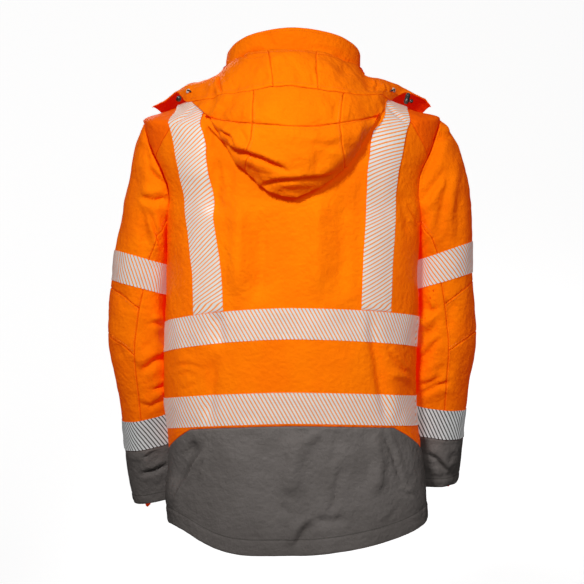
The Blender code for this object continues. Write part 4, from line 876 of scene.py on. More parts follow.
class Finish:
    """A finish that makes its material once, and the name of the record's material slot."""

    made: dict[str, bpy.types.Material] = {}
    name: str
    slot: str

    def material(self) -> bpy.types.Material:
        """The finish's material, made on first use."""
        if self.name not in self.made:
            material = bpy.data.materials.new(self.name)
            material.use_nodes = True
            self.wire(Graph(material.node_tree), material.node_tree.nodes["Principled BSDF"])
            self.made[self.name] = material
        return self.made[self.name]

    def wire(self, graph: Graph, shader: bpy.types.Node) -> None:
        """Wire the finish into its shader."""
        raise NotImplementedError

    @staticmethod
    def place(graph: Graph, group: bpy.types.NodeTree, **values: Socket | float) -> bpy.types.Node:
        """Place a shader group with its values.

        Args:
            graph: The material's graph.
            group: The group.
            values: Inputs, with underscores for spaces in their names.

        Returns:
            The group's node.
        """
        node = graph.node("Group")
        node.node_tree = group
        for label, value in values.items():
            graph.feed(node.inputs[label.replace("_", " ")], value)
        return node

    @staticmethod
    def bump(graph: Graph, height: Socket, distance: float, strength: float,
             under: Socket | None = None) -> Socket:
        """A normal raised by a height.

        Args:
            graph: The material's graph.
            height: Height from 0 to 1.
            distance: Metres at height 1.
            strength: Share that shows.
            under: The normal that it lies on.

        Returns:
            The normal's socket.
        """
        node = graph.node("Bump")
        if under is not None:
            graph.feed(node.inputs["Normal"], under)
        node.inputs["Distance"].default_value = distance
        node.inputs["Strength"].default_value = strength
        graph.feed(node.inputs["Height"], height)
        return node.outputs["Normal"]

    @staticmethod
    def cloth_place(graph: Graph) -> Socket:
        """Place on the cloth in metres, along and across its yarns."""
        node = graph.node("UVMap")
        node.uv_map = CLOTH_MAP
        return node.outputs["UV"]

    @staticmethod
    def body_place(graph: Graph) -> Socket:
        """Place in the frame in metres."""
        return graph.node("TexCoord").outputs["Object"]


@dataclass(frozen=True)
class WovenCloth(Finish):
    """Woven shell cloth: its colours, weave and sheen, its painted glow, and the painted shade of its seams
    and inner faces.
    """

    name: str
    slot: str
    colour: Colour
    cloudy: Colour
    # Painted shade in seam and hem grooves, then the colour of wear and painted sheen beside seams
    seam_shade: Colour
    wear_and_sheen: Colour
    yarn: float = 0.0007
    weave_height: float = 0.00006
    weave_share: float = 0.35
    crumple: float = 0.0024
    cells: float = 14.0
    cloud_share: float = 0.7
    wear_and_sheen_share: float = 0.35
    seam_shade_share: float = 0.75
    rough: float = 0.62
    slub_rough: float = 0.16
    slub_share: float = 0.4
    sheen: float = 0.03
    sheen_rough: float = 0.45
    specular: float = 0.12
    shine: Colour = (1.0, 1.0, 1.0)
    # Painted shade: darker colour of the inner faces
    inside: Colour | None = None
    # Painted glow: red emission on the outer and inner faces that keeps the cloth bright red in shade, and
    # its strength
    painted_glow: Colour = (0.0, 0.0, 0.0)
    painted_inside_glow: Colour = (0.0, 0.0, 0.0)
    painted_glow_strength: float = 0.0

    def wire(self, graph: Graph, shader: bpy.types.Node) -> None:
        """Wire weave, mottle, painted seam shade, wear and painted sheen beside seams, painted glow and
        sheen.

        Args:
            graph: The material's graph.
            shader: Its Principled node.
        """
        cloth = self.cloth_place(graph)
        weave = self.place(graph, GROUPS.weave, Place=cloth, Yarn_Pitch=self.yarn)
        mottle = self.place(graph, GROUPS.mottle, Place=self.body_place(graph), Cells=self.cells)
        seam = graph.node("Attribute")
        seam.attribute_name = SEAM_MASK
        hem = graph.node("Attribute")
        hem.attribute_name = HEM_GAP
        seam_shade_and_sheen = self.place(graph, GROUPS.seam_shade_and_sheen, Seam=seam.outputs["Fac"], Hem=hem.outputs["Fac"],
                         Cloud=mottle.outputs["Cloud"])
        shade = graph.math("MULTIPLY", mottle.outputs["Cloud"], self.cloud_share)
        colour = graph.mix(shade, self.colour, self.cloudy)
        # Wear and painted sheen beside seams, then painted shade in the seam and hem grooves
        for output, share, tint in (("Wear And Sheen", self.wear_and_sheen_share, self.wear_and_sheen),
                                    ("Line", self.seam_shade_share, self.seam_shade)):
            colour = graph.mix(graph.math("MULTIPLY", seam_shade_and_sheen.outputs[output], share), colour, tint)
        # Inner faces take the darker painted-shade colour and the weaker painted glow
        inside = graph.node("Attribute")
        inside.attribute_name = INSIDE
        if self.inside is not None:
            colour = graph.mix(inside.outputs["Fac"], colour, self.inside)
            painted_glow = graph.mix(inside.outputs["Fac"], self.painted_glow, self.painted_inside_glow)
            graph.feed(shader.inputs["Emission Color"], painted_glow)
        graph.feed(shader.inputs["Base Color"], colour)
        rough = graph.math("MULTIPLY", weave.outputs["Slub"], self.slub_rough)
        rough = graph.math("ADD", rough, self.rough - 0.5 * self.slub_rough)
        graph.feed(shader.inputs["Roughness"], rough)
        yarns = graph.math("MULTIPLY", weave.outputs["Height"], 1.0 - self.slub_share)
        slubs = graph.math("MULTIPLY", weave.outputs["Slub"], self.slub_share)
        height = graph.math("ADD", yarns, slubs)
        crumpled = self.bump(graph, mottle.outputs["Crumple"], self.crumple, 1.0)
        graph.feed(shader.inputs["Normal"],
                   self.bump(graph, height, self.weave_height, self.weave_share, crumpled))
        shader.inputs["Sheen Weight"].default_value = self.sheen
        shader.inputs["Sheen Roughness"].default_value = self.sheen_rough
        shader.inputs["Sheen Tint"].default_value = (*self.wear_and_sheen, 1.0)
        shader.inputs["Specular IOR Level"].default_value = self.specular
        shader.inputs["Specular Tint"].default_value = (*self.shine, 1.0)
        # Strength of the painted glow
        shader.inputs["Emission Strength"].default_value = self.painted_glow_strength


@dataclass(frozen=True)
class BarredTape(Finish):
    """Segmented reflective tape: silver bars over the ground cloth's colour, with a painted glow on bars
    and ground.
    """

    name: str
    slot: str
    ground: Colour
    silver: Colour = (0.43, 0.43, 0.43)
    # Painted glow: grey on the bars, standing in for their retroreflection, and red on the orange ground
    painted_bead_glow: Colour = (0.22, 0.22, 0.22)
    painted_ground_glow: Colour = (0.20, 0.015, 0.0)
    across: tuple[float, float, float] = (0.875, 0.485, 0.0)
    pitch: float = 0.0055
    bar_share: float = 0.64
    tooth: float = 0.8
    cells: float = 30.0
    grain_share: float = 0.35
    cloud_share: float = 0.25
    dullness: float = 0.82
    ground_rough: float = 0.68
    bar_rough: float = 0.36
    grain_height: float = 0.25
    bar_height: float = 0.0001
    bar_strength: float = 0.5
    specular: float = 0.3

    def wire(self, graph: Graph, shader: bpy.types.Node) -> None:
        """Wire the bars, their bead grain and the silver's mottle.

        Args:
            graph: The material's graph.
            shader: Its Principled node.
        """
        cloth = self.cloth_place(graph)
        bars = self.place(graph, GROUPS.bars, Place=cloth, Across=self.across, Pitch=self.pitch,
                          Bar_Share=self.bar_share, Tooth=self.tooth)
        mottle = self.place(graph, GROUPS.mottle, Place=self.body_place(graph), Cells=self.cells)
        grain = graph.math("MULTIPLY", bars.outputs["Grain"], self.grain_share)
        dull = tuple(self.dullness * part for part in self.silver)
        silver = graph.mix(grain, self.silver, dull)
        cloud = graph.math("MULTIPLY", mottle.outputs["Cloud"], self.cloud_share)
        silver = graph.mix(cloud, silver, dull)
        bar = bars.outputs["Bar"]
        graph.feed(shader.inputs["Base Color"], graph.mix(bar, self.ground, silver))
        rough = graph.between(bar, 0.0, 1.0, self.ground_rough, self.bar_rough)
        graph.feed(shader.inputs["Roughness"], rough)
        beads = graph.math("MULTIPLY", bars.outputs["Grain"], self.grain_height)
        raised = self.bump(graph, graph.math("ADD", bar, beads), self.bar_height, self.bar_strength)
        graph.feed(shader.inputs["Normal"], raised)
        shader.inputs["Specular IOR Level"].default_value = self.specular
        # Painted glow of the bars and the ground
        graph.feed(shader.inputs["Emission Color"], graph.mix(bar, self.painted_ground_glow, self.painted_bead_glow))
        shader.inputs["Emission Strength"].default_value = 1.0


@dataclass(frozen=True)
class Moulded(Finish):
    """Moulded plastic or coated metal: its colour, roughness and fine grain."""

    name: str
    slot: str
    colour: Colour
    worn: Colour
    rough: float = 0.4
    metal: float = 0.0
    grain: float = 0.00003
    grain_strength: float = 0.5
    grain_rough: float = 0.2
    cells: float = 180.0

    def wire(self, graph: Graph, shader: bpy.types.Node) -> None:
        """Wire the mottled colour, roughness and grain.

        Args:
            graph: The material's graph.
            shader: Its Principled node.
        """
        mottle = self.place(graph, GROUPS.mottle, Place=self.body_place(graph), Cells=self.cells)
        cloud, crumple = mottle.outputs["Cloud"], mottle.outputs["Crumple"]
        graph.feed(shader.inputs["Base Color"], graph.mix(cloud, self.colour, self.worn))
        rough = graph.math("MULTIPLY", crumple, self.grain_rough)
        rough = graph.math("ADD", rough, self.rough - 0.5 * self.grain_rough)
        graph.feed(shader.inputs["Roughness"], rough)
        graph.feed(shader.inputs["Normal"], self.bump(graph, crumple, self.grain, self.grain_strength))
        shader.inputs["Metallic"].default_value = self.metal


# Painted glow: red emission that keeps the orange cloth bright red in shade; the inner faces glow less
PAINTED_GLOW = (1.0, 0.012, 0.0)
PAINTED_INSIDE_GLOW = (0.80, 0.005, 0.0)
ORANGE_SHINE = (1.0, 0.36, 0.01)
# Darker painted-shade colour of the inner faces
SHADED_ORANGE_INSIDE = (0.52, 0.032, 0.0015)
ORANGE_CLOTH = WovenCloth("orange shell cloth", "orange_shell", (0.66, 0.176, 0.0015),
                          (0.62, 0.140, 0.0015), (0.45, 0.065, 0.001), (0.76, 0.215, 0.003),
                          shine=ORANGE_SHINE, inside=SHADED_ORANGE_INSIDE, painted_glow=PAINTED_GLOW,
                          painted_inside_glow=PAINTED_INSIDE_GLOW, painted_glow_strength=0.26)
DEEP_CLOTH = replace(ORANGE_CLOTH, name="deep orange cloth", slot="deep_orange_panel",
                     colour=(0.64, 0.124, 0.0015), cloudy=(0.58, 0.098, 0.0015),
                     seam_shade=(0.43, 0.050, 0.001), wear_and_sheen=(0.72, 0.148, 0.002), yarn=0.0010,
                     rough=0.66)
GREY_CLOTH = WovenCloth("dark grey cloth", "grey_shell", (0.146, 0.130, 0.122), (0.108, 0.095, 0.088),
                        (0.052, 0.046, 0.042), (0.185, 0.160, 0.146), yarn=0.0008, sheen=0.04)
BLACK_CLOTH = WovenCloth("black zip cloth", "zip_cloth", (0.020, 0.019, 0.018), (0.026, 0.024, 0.023),
                         (0.010, 0.009, 0.009), (0.036, 0.034, 0.032), yarn=0.0009, sheen=0.04)
LEFT_LEAN = (0.875, -0.485, 0.0)
ORANGE_TAPE = BarredTape("barred tape on orange", "reflective_tape", (0.62, 0.230, 0.008))
LEFT_SLEEVE_TAPE = replace(ORANGE_TAPE, name="barred tape on the left sleeve", across=LEFT_LEAN)
BRACE_TAPE = replace(ORANGE_TAPE, name="barred shoulder tape", across=(-0.50, 0.866, 0.0))
GREY_TAPE = replace(ORANGE_TAPE, name="barred tape on grey", ground=(0.060, 0.053, 0.048),
                    painted_ground_glow=(0.0, 0.0, 0.0))
LEFT_GREY_TAPE = replace(GREY_TAPE, name="barred tape on the left cuff", across=LEFT_LEAN)
ORANGE_THREAD = Moulded("orange thread", "orange_shell", (0.86, 0.150, 0.002), (0.80, 0.125, 0.002), 0.55)
GREY_THREAD = Moulded("grey thread", "grey_shell", (0.080, 0.070, 0.064), (0.060, 0.052, 0.047), 0.55)
BLACK_MOULDED = Moulded("black moulded trim", "cord_trim", (0.022, 0.020, 0.019), (0.040, 0.037, 0.034),
                        0.38)
GREY_MOULDED = Moulded("grey moulded button", "cord_trim", (0.19, 0.18, 0.17), (0.13, 0.125, 0.12), 0.42)
BLACK_CORD = Moulded("black cord", "cord_trim", (0.018, 0.017, 0.016), (0.035, 0.033, 0.031), 0.6,
                     grain=0.0002)
PALE_RIM = Moulded("pale eyelet rim", "cord_trim", (0.62, 0.50, 0.45), (0.50, 0.36, 0.30), 0.35)
DARK_METAL = Moulded("dark coated metal", "zip_metal", (0.085, 0.083, 0.082), (0.150, 0.146, 0.142),
                     0.34, 1.0)


# ------------------------------------------------------------------ making pieces


def dress(piece: bpy.types.Object, finish: Finish, node: str = "") -> None:
    """Give a piece its finish and its place in the frame.

    Args:
        piece: The piece.
        finish: Its finish.
        node: The model node that it stands for.
    """
    piece.data.materials.append(finish.material())
    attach(piece, JACKET)
    if node:
        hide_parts(node)
    LOG.info("%s in %s", piece.name, finish.name)


def mesh_piece(name: str, vertices: Array, faces: list, smooth_angle: float) -> bpy.types.Object:
    """One smooth-shaded object from vertices and faces.

    Args:
        name: Its name.
        vertices: Its points.
        faces: Its faces, as tuples of point numbers.
        smooth_angle: Edges sharper than this, in degrees, stay sharp.

    Returns:
        The object.
    """
    mesh = bpy.data.meshes.new(name)
    mesh.from_pydata(vertices.tolist(), [], faces)
    mesh.shade_smooth()
    mesh.set_sharp_from_angle(angle=math.radians(smooth_angle))
    piece = bpy.data.objects.new(name, mesh)
    bpy.context.scene.collection.objects.link(piece)
    return piece


def block_piece(name: str, corners: list[Array], smooth_angle: float) -> bpy.types.Object:
    """Many small blocks as one object, each of three rings of four corners.

    Args:
        name: Its name.
        corners: Twelve arrays, ring by ring, with one point for each block.
        smooth_angle: Edges sharper than this, in degrees, stay sharp.

    Returns:
        The object.
    """
    pattern = [(ring + turn, ring + (turn + 1) % 4, ring + 4 + (turn + 1) % 4, ring + 4 + turn)
               for ring in (0, 4) for turn in range(4)]
    pattern += [(3, 2, 1, 0), (8, 9, 10, 11)]
    starts = len(corners) * np.arange(len(corners[0]))
    faces = (np.array(pattern)[None] + starts[:, None, None]).reshape(-1, 4)
    return mesh_piece(name, np.stack(corners, axis=1).reshape(-1, 3), faces.tolist(), smooth_angle)


def grid_normals(points: Array) -> Array:
    """Normals of a grid of points, from the grid's own slopes."""
    return unit(np.cross(np.gradient(points, axis=0), np.gradient(points, axis=1)))


def along_line(stops: Array, lengths: Array, line: Array) -> Array:
    """Points of a line at some stops, from the length at each of its own points."""
    return np.stack([np.interp(stops, lengths, line[:, axis]) for axis in range(3)], axis=-1)


def paired(first: Array, second: Array) -> tuple[Array, Array]:
    """Two arrays of numbers in one common shape."""
    return np.broadcast_arrays(np.asarray(first, dtype=float), np.asarray(second, dtype=float))


@dataclass
class Panel:
    """A cloth piece as a grid of points on its smooth surface."""

    name: str
    points: Array
    normals: Array
    relief: Relief
    low: Edge = SEAM
    high: Edge = SEAM
    start: Edge = SEAM
    end: Edge = SEAM
    closed: bool = False
    thickness: float = CLOTH
    lift: float = 0.0
    darts: tuple[int, ...] = ()
    flat: tuple[Array, Array] | None = None
    hem_gap: Array | None = None
    made: tuple[Array, Array] | None = None

    def lengths(self, axis: int) -> Array:
        """Distance along the grid lines of one axis, from its first line."""
        points = self.points
        if axis == 1 and self.closed:
            points = np.concatenate([points, points[:, :1]], axis=1)
        steps = np.linalg.norm(np.diff(points, axis=axis), axis=-1)
        zero = np.zeros_like(steps.take([0], axis=axis))
        return np.concatenate([zero, np.cumsum(steps, axis=axis)], axis=axis)

    def cut(self) -> tuple[float, float, float]:
        """Width, length and area of the flat cut, from the smooth surface.

        Returns:
            Width and length in metres, and area in square metres.
        """
        wide = self.lengths(1)
        long = self.lengths(0)
        rows = 0.5 * (wide[1:, -1] + wide[:-1, -1])
        heights = np.diff(long, axis=0).mean(axis=1)
        area = float((rows * heights).sum())
        width = float(wide[:, -1].max())
        length = max(float(long[-1].max()), area / width)
        return round(width + CUT_SPARE, 3), round(length + CUT_SPARE, 3), round(area, 4)

    def faced(self) -> tuple[Array, Array]:
        """Outer points with folds and edges, and the seam mask.

        Returns:
            The points and the mask, which is 1 at a sewn border.
        """
        if self.made is not None:
            return self.made
        height = self.relief.offset(self.points, self.normals)
        mask = np.zeros(self.points.shape[:2])
        long = self.lengths(0)
        wide = self.lengths(1)[:, :self.points.shape[1]]
        gaps = [(self.low, long), (self.high, long[-1] - long)]
        if not self.closed:
            gaps += [(self.start, wide), (self.end, wide[:, -1:] - wide)]
        gaps += [(DART, np.abs(wide - wide[:, column:column + 1])) for column in self.darts]
        for edge, gap in gaps:
            height = height + edge.offset(gap, self.points)
            if edge.dip > 0.0:
                mask = np.maximum(mask, np.clip(1.0 - gap / SEAM_MASK_REACH, 0.0, 1.0))
        hems = [gap - edge.hem for edge, gap in gaps if edge.hem]
        self.hem_gap = hems[0] if hems else np.ones_like(mask)
        for gap in hems[1:]:
            self.hem_gap = np.where(np.abs(gap) < np.abs(self.hem_gap), gap, self.hem_gap)
        self.made = self.points + self.normals * (height + self.lift)[..., None], mask
        return self.made

    def build(self) -> bpy.types.Object:
        """The panel as a thin double-sided shell with its cloth map and seam mask.

        Returns:
            The object.
        """
        outer, mask = self.faced()
        rows, columns = outer.shape[:2]
        inner = outer - self.normals * self.thickness
        half = rows * columns
        spans = columns if self.closed else columns - 1
        index = np.arange(half).reshape(rows, columns)
        wrapped = np.concatenate([index, index[:, :1]], axis=1) if self.closed else index
        quads = np.stack([wrapped[:-1, :-1], wrapped[:-1, 1:], wrapped[1:, 1:], wrapped[1:, :-1]], axis=-1)
        quads = quads[:, :spans].reshape(-1, 4)
        row, column = rows // 2, columns // 2
        middle = outer[row, column]
        facing = np.cross(outer[row, column - 1] - middle, outer[row - 1, column] - middle)
        turned = float(facing @ self.normals[row, column]) < 0.0
        if turned:
            quads = quads[:, ::-1]
        rims = [wrapped[0], wrapped[-1][::-1]]
        if not self.closed:
            rims = [np.concatenate([wrapped[0], wrapped[1:, -1], wrapped[-1, -2::-1], wrapped[-2::-1, 0]])]
        sides = []
        for rim in rims:
            first, second = rim[:-1], rim[1:]
            side = np.stack([second, first, first + half, second + half], axis=-1)
            sides.append(side[:, ::-1] if turned else side)
        faces = np.concatenate([quads, quads[:, ::-1] + half, *sides])
        vertices = np.concatenate([outer.reshape(-1, 3), inner.reshape(-1, 3)])
        piece = mesh_piece(self.name, vertices, faces.tolist(), SMOOTH_CLOTH)
        self.map_cloth(piece, mask)
        return piece

    def map_cloth(self, piece: bpy.types.Object, mask: Array) -> None:
        """Write the cloth map in metres and the seam mask.

        Args:
            piece: The built shell.
            mask: The seam mask of its grid.
        """
        mesh = piece.data
        rows, columns = self.points.shape[:2]
        wide = self.lengths(1)
        along = wide - wide[:, columns // 2:columns // 2 + 1]
        down = np.repeat(self.lengths(0)[:, columns // 2:columns // 2 + 1], wide.shape[1], axis=1)
        if self.flat is not None:
            along, down = self.flat
        corner = np.empty(len(mesh.loops), dtype=np.int64)
        mesh.loops.foreach_get("vertex_index", corner)
        corner %= rows * columns
        row, column = corner // columns, corner % columns
        if self.closed:
            per_face = np.repeat(np.arange(len(mesh.polygons)), 4)
            starts = np.zeros(len(mesh.polygons), dtype=bool)
            np.logical_or.at(starts, per_face, column == columns - 1)
            column = np.where(starts[per_face] & (column == 0), columns, column)
        layer = mesh.uv_layers.new(name=CLOTH_MAP)
        places = np.stack([along[row, column], down[row, column]], axis=-1)
        layer.uv.foreach_set("vector", places.astype(np.float32).ravel())
        marks = {SEAM_MASK: np.tile(mask.ravel(), 2), HEM_GAP: np.tile(self.hem_gap.ravel(), 2),
                 INSIDE: np.repeat([0.0, 1.0], mask.size)}
        for label, values in marks.items():
            layer = mesh.attributes.new(label, "FLOAT", "POINT")
            layer.data.foreach_set("value", values.astype(np.float32))

    def sewn(self, finish: Finish, held: str = "hung", rests_on: tuple[str, ...] = ("yoke_l", "yoke_r"),
             node: str = "") -> None:
        """Args:
            finish: Its finish.
            held: How the cloth is held; not used.
            rests_on: What it hangs from or lies on; not used.
            node: The model node that it stands for, where that isn't its own name.
        """
        piece = self.build()
        dress(piece, finish, node or self.name)
        width, length, area = self.cut()

    def line(self, border: str, number: int = STITCH_LINE) -> tuple[Array, Array]:
        """A grid line beside a border, for stitches.

        Args:
            border: low, high, start or end.
            number: Which of the border lines.

        Returns:
            The line's points on the faced cloth, and its normals.
        """
        points = self.faced()[0]
        pick = {"low": (0, number), "high": (0, -1 - number), "start": (1, number), "end": (1, -1 - number)}
        axis, index = pick[border]
        return points.take(index, axis=axis), self.normals.take(index, axis=axis)


@dataclass
class Thread:
    """Rows of stitches that make one piece."""

    name: str
    pitch: float = 0.0040
    stitch: float = 0.0029
    radius: float = 0.00034
    ahead: float = 0.001
    rings: tuple[Row, ...] = ((-0.5, 0.35, 0.6), (0.0, 1.0, 0.0), (0.5, 0.35, 0.6))
    runs: list[tuple[Array, Array]] = field(default_factory=list)

    def run(self, line: tuple[Array, Array]) -> None:
        """Add a row of stitches along a line of points with normals."""
        self.runs.append(line)

    def build(self, finish: Finish) -> None:
        """Every stitch as a short rounded bar lying on the cloth.

        Args:
            finish: The thread's finish.
        """
        centres, ways, ups = [], [], []
        for points, normals in self.runs:
            steps = np.linalg.norm(np.diff(points, axis=0), axis=1)
            places = np.concatenate([[0.0], np.cumsum(steps)])
            stops = np.arange(0.5 * self.pitch, places[-1] - 0.5 * self.pitch, self.pitch)
            middle = along_line(stops, places, points)
            centres.append(middle)
            ways.append(unit(along_line(stops + self.ahead, places, points) - middle))
            ups.append(unit(along_line(stops, places, normals)))
        centre, way, up = (np.concatenate(part) for part in (centres, ways, ups))
        side = unit(np.cross(way, up))
        corners = []
        for place, girth, sink in self.rings:
            raised = up * self.radius * (0.5 - sink)
            for turn in 0.5 * math.pi * np.arange(4):
                spoke = side * math.cos(turn) + up * math.sin(turn)
                corners.append(centre + way * place * self.stitch + spoke * self.radius * girth + raised)
        dress(block_piece(self.name, corners, SMOOTH_THREAD), finish)


# ------------------------------------------------------------------ the body


@dataclass
class Body:
    """Backs, fronts, yokes, hem panels and the tapes on them."""

    header: tuple[str, ...] = ("level", "left", "right", "back", "front", "z_left", "z_right",
                               "z_back", "z_front", "square")
    rows: tuple[Row, ...] = (
        (0.0, 0.2095, 0.2285, 0.139, 0.139, -0.7215, -0.7130, -0.7655, -0.740, 2.6),
        (0.5, 0.2122, 0.2265, 0.139, 0.139, -0.6800, -0.6740, -0.7140, -0.694, 2.6),
        (1.0, 0.2070, 0.2220, 0.139, 0.138, -0.6380, -0.6340, -0.6600, -0.648, 2.6),
        (1.6, 0.2062, 0.2150, 0.139, 0.137, -0.5960, -0.5930, -0.5980, -0.592, 2.6),
        (2.0, 0.2066, 0.2085, 0.139, 0.136, -0.5670, -0.5620, -0.5520, -0.560, 2.6),
        (3.0, 0.2108, 0.2062, 0.140, 0.136, -0.5170, -0.5125, -0.5020, -0.510, 2.6),
        (4.0, 0.2116, 0.2073, 0.142, 0.138, -0.4405, -0.4310, -0.4160, -0.430, 2.6),
        (5.0, 0.2116, 0.2105, 0.144, 0.139, -0.3905, -0.3810, -0.3660, -0.380, 2.6),
        (6.0, 0.2085, 0.2110, 0.146, 0.140, -0.3050, -0.3050, -0.3000, -0.305, 2.6),
        (7.0, 0.2080, 0.2120, 0.147, 0.140, -0.2350, -0.2350, -0.2350, -0.235, 2.6),
        (8.0, 0.2090, 0.2130, 0.147, 0.138, -0.1900, -0.1900, -0.1950, -0.200, 2.6),
        (9.0, 0.2235, 0.2210, 0.146, 0.132, -0.1450, -0.1450, -0.1550, -0.168, 2.6),
        (10.0, 0.2425, 0.2400, 0.141, 0.125, -0.1000, -0.1000, -0.1180, -0.138, 2.5),
        (11.0, 0.2485, 0.2475, 0.132, 0.117, -0.0550, -0.0500, -0.0840, -0.112, 2.5),
        (12.0, 0.2030, 0.2030, 0.119, 0.109, -0.0370, -0.0370, -0.0500, -0.090, 2.4),
        (13.0, 0.1550, 0.1540, 0.104, 0.101, -0.0200, -0.0200, -0.0180, -0.070, 2.3),
        (14.0, 0.1110, 0.1090, 0.089, 0.094, -0.0030, -0.0030, 0.0110, -0.052, 2.2),
    )
    hem_left: tuple[float, float] = (0.17, 0.93)
    hem_right_power: float = 1.05
    hem_fade: float = 1.6
    waist_tape: tuple[float, float] = (2.0, 3.0)
    chest_tape: tuple[float, float] = (4.0, 5.0)
    chest: float = 6.0
    armpit: float = 7.0
    armhole_middle: float = 9.0
    neck: float = 14.0
    side_seams: dict[int, float] = field(default_factory=lambda: {1: 4.0, -1: 15.0})
    armhole_back: float = 24.0
    armhole_front: float = 27.0
    yoke_back_rows: tuple[Row, ...] = ((9.618, 22.83), (10.2, 33.0), (10.8, 40.5), (11.6, 44.0),
                                       (12.6, 45.5), (14.0, 47.0))
    yoke_front_rows: tuple[Row, ...] = ((10.176, 21.84), (10.5, 28.0), (11.0, 34.0), (11.8, 39.0),
                                        (12.8, 43.0), (14.0, 46.0))
    yoke_back_phase: float = math.radians(72.0)
    yoke_front_phase: float = math.radians(-54.0)
    panel_top: float = 1.95
    panel_dip: float = 0.55
    panel_dip_turn: float = 42.0
    panel_dip_power: float = 0.9
    zip_half_gap: float = 0.0046
    back_width: float = 0.46
    front_width: float = 0.26
    panel_length: float = 0.20
    top_length: float = 0.16
    yoke_size: float = 0.15
    armhole_rows: int = 34
    sunk_shares: Row = (0.0, 0.15, 0.3, 0.45, 0.6, 0.8)

    def __post_init__(self) -> None:
        """Read the tables and settle the folds."""
        self.table = Table(self.header, self.rows)
        self.yoke_seams = {True: Table(("level", "turn"), self.yoke_back_rows),
                           False: Table(("level", "turn"), self.yoke_front_rows)}
        self.relief = body_relief()
        self.thread = Thread("stitching_body")
        self.grey_thread = Thread("stitching_hem")

    def point(self, turn: Array, level: Array) -> Array:
        """Outer face of the body.

        Args:
            turn: Way round, from the left side over the back.
            level: Way up, from the hem to the neck.

        Returns:
            The points.
        """
        turn = np.asarray(turn, dtype=float)
        level = np.asarray(level, dtype=float)
        table = self.table
        cosine, sine = np.cos(turn), np.sin(turn)
        reach = superellipse(cosine, sine, table.at("square", level))
        side = np.where(cosine > 0.0, table.at("left", level), table.at("right", level))
        depth = np.where(sine > 0.0, table.at("back", level), table.at("front", level))
        edge = np.where(cosine > 0.0, table.at("z_left", level), table.at("z_right", level))
        middle = np.where(sine > 0.0, table.at("z_back", level), table.at("z_front", level))
        share = sine ** 2
        left = ease((share - self.hem_left[0]) / (self.hem_left[1] - self.hem_left[0]))
        dropped = np.where(cosine > 0.0, left, share ** self.hem_right_power)
        fade = np.where(sine > 0.0, np.clip(1.0 - level / self.hem_fade, 0.0, 1.0), 0.0)
        share = share + fade * (dropped - share)
        return np.stack([side * cosine * reach, depth * sine * reach,
                         edge * (1.0 - share) + middle * share], axis=-1)

    def normal(self, turn: Array, level: Array) -> Array:
        """Outward normals of the body."""
        return surface_normals(self.point, np.asarray(turn, dtype=float), np.asarray(level, dtype=float))

    def armhole(self, phase: Array) -> tuple[Array, Array]:
        """Turn and level of the armhole; phase 0 is the shoulder point and pi the armpit."""
        widest = np.where(np.sin(phase) > 0.0, self.armhole_back, self.armhole_front)
        turn = np.radians(widest) * np.sin(phase)
        return turn, self.armhole_middle + (self.armhole_middle - self.armpit) * np.cos(phase)

    def armhole_point(self, phase: Array, side: int) -> Array:
        """Points of one armhole."""
        turn, level = self.armhole(phase)
        return self.point(turn if side > 0 else math.pi - turn, level)

    def border(self, level: float, side: int, back: bool) -> float:
        """Turn of the back or front panel's side border, measured from the left side line.

        Args:
            level: The level.
            side: 1 for left, -1 for right.
            back: True for the back panel.

        Returns:
            The turn.
        """
        if level <= self.armpit:
            fade = np.clip((self.armpit - level) / (self.armpit - self.chest_tape[1]), 0.0, 1.0)
            return math.radians(self.side_seams[side]) * float(fade)
        phase = self.yoke_back_phase if back else self.yoke_front_phase
        if level <= float(self.armhole(phase)[1]):
            cosine = (level - self.armhole_middle) / (self.armhole_middle - self.armpit)
            here = math.acos(min(max(cosine, -1.0), 1.0))
            return float(self.armhole(here if back else -here)[0])
        turn = math.radians(float(self.yoke_seams[back].at("turn", level)))
        return turn if back else -turn

    def across(self, level: float, back: bool, side: int) -> Array:
        """Turns across a panel at one level.

        Args:
            level: The level.
            back: True for the whole back.
            side: Side of a front.

        Returns:
            The turns, one per column.
        """
        if back:
            low = self.border(level, 1, True)
            high = math.pi - self.border(level, -1, True)
            return low + (high - low) * spread(self.back_width)
        zip_edge = 1.5 * math.pi + side * self.zip_half_gap / float(self.table.at("left", level))
        border = self.border(level, side, False)
        outer = 2.0 * math.pi + border if side > 0 else math.pi - border
        return zip_edge + (outer - zip_edge) * spread(self.front_width)

    def seam_level(self, turn: Array) -> Array:
        """Level of the seam between the grey hem panel and the orange one."""
        from_side = np.degrees(np.arcsin(np.clip(np.abs(np.sin(turn)), 0.0, 1.0)))
        dip = np.clip(1.0 - from_side / self.panel_dip_turn, 0.0, 1.0)
        return self.panel_top - self.panel_dip * dip ** self.panel_dip_power

    def levels(self, back: bool) -> Array:
        """Levels of an orange panel's rows above the waist tape's lower edge.

        Args:
            back: True for the back.

        Returns:
            The levels, rising.
        """
        phase = self.yoke_back_phase if back else self.yoke_front_phase
        last = float(self.armhole(phase)[1])
        knots = [*self.waist_tape, *self.chest_tape, self.chest, self.armpit]
        column = "z_back" if back else "z_front"
        rows = [np.array([knots[0]])]
        for low, high in zip(knots[:-1], knots[1:]):
            rise = float(self.table.at(column, high) - self.table.at(column, low))
            rows.append(np.linspace(low, high, int(math.ceil(rise / CELL)) + 1)[1:])
        phases = np.linspace(math.pi, abs(phase), self.armhole_rows)[1:]
        rows.append(self.armhole(phases)[1])
        rows.append(last + (self.neck - last) * spread(self.top_length, low=False)[1:])
        return np.concatenate(rows)

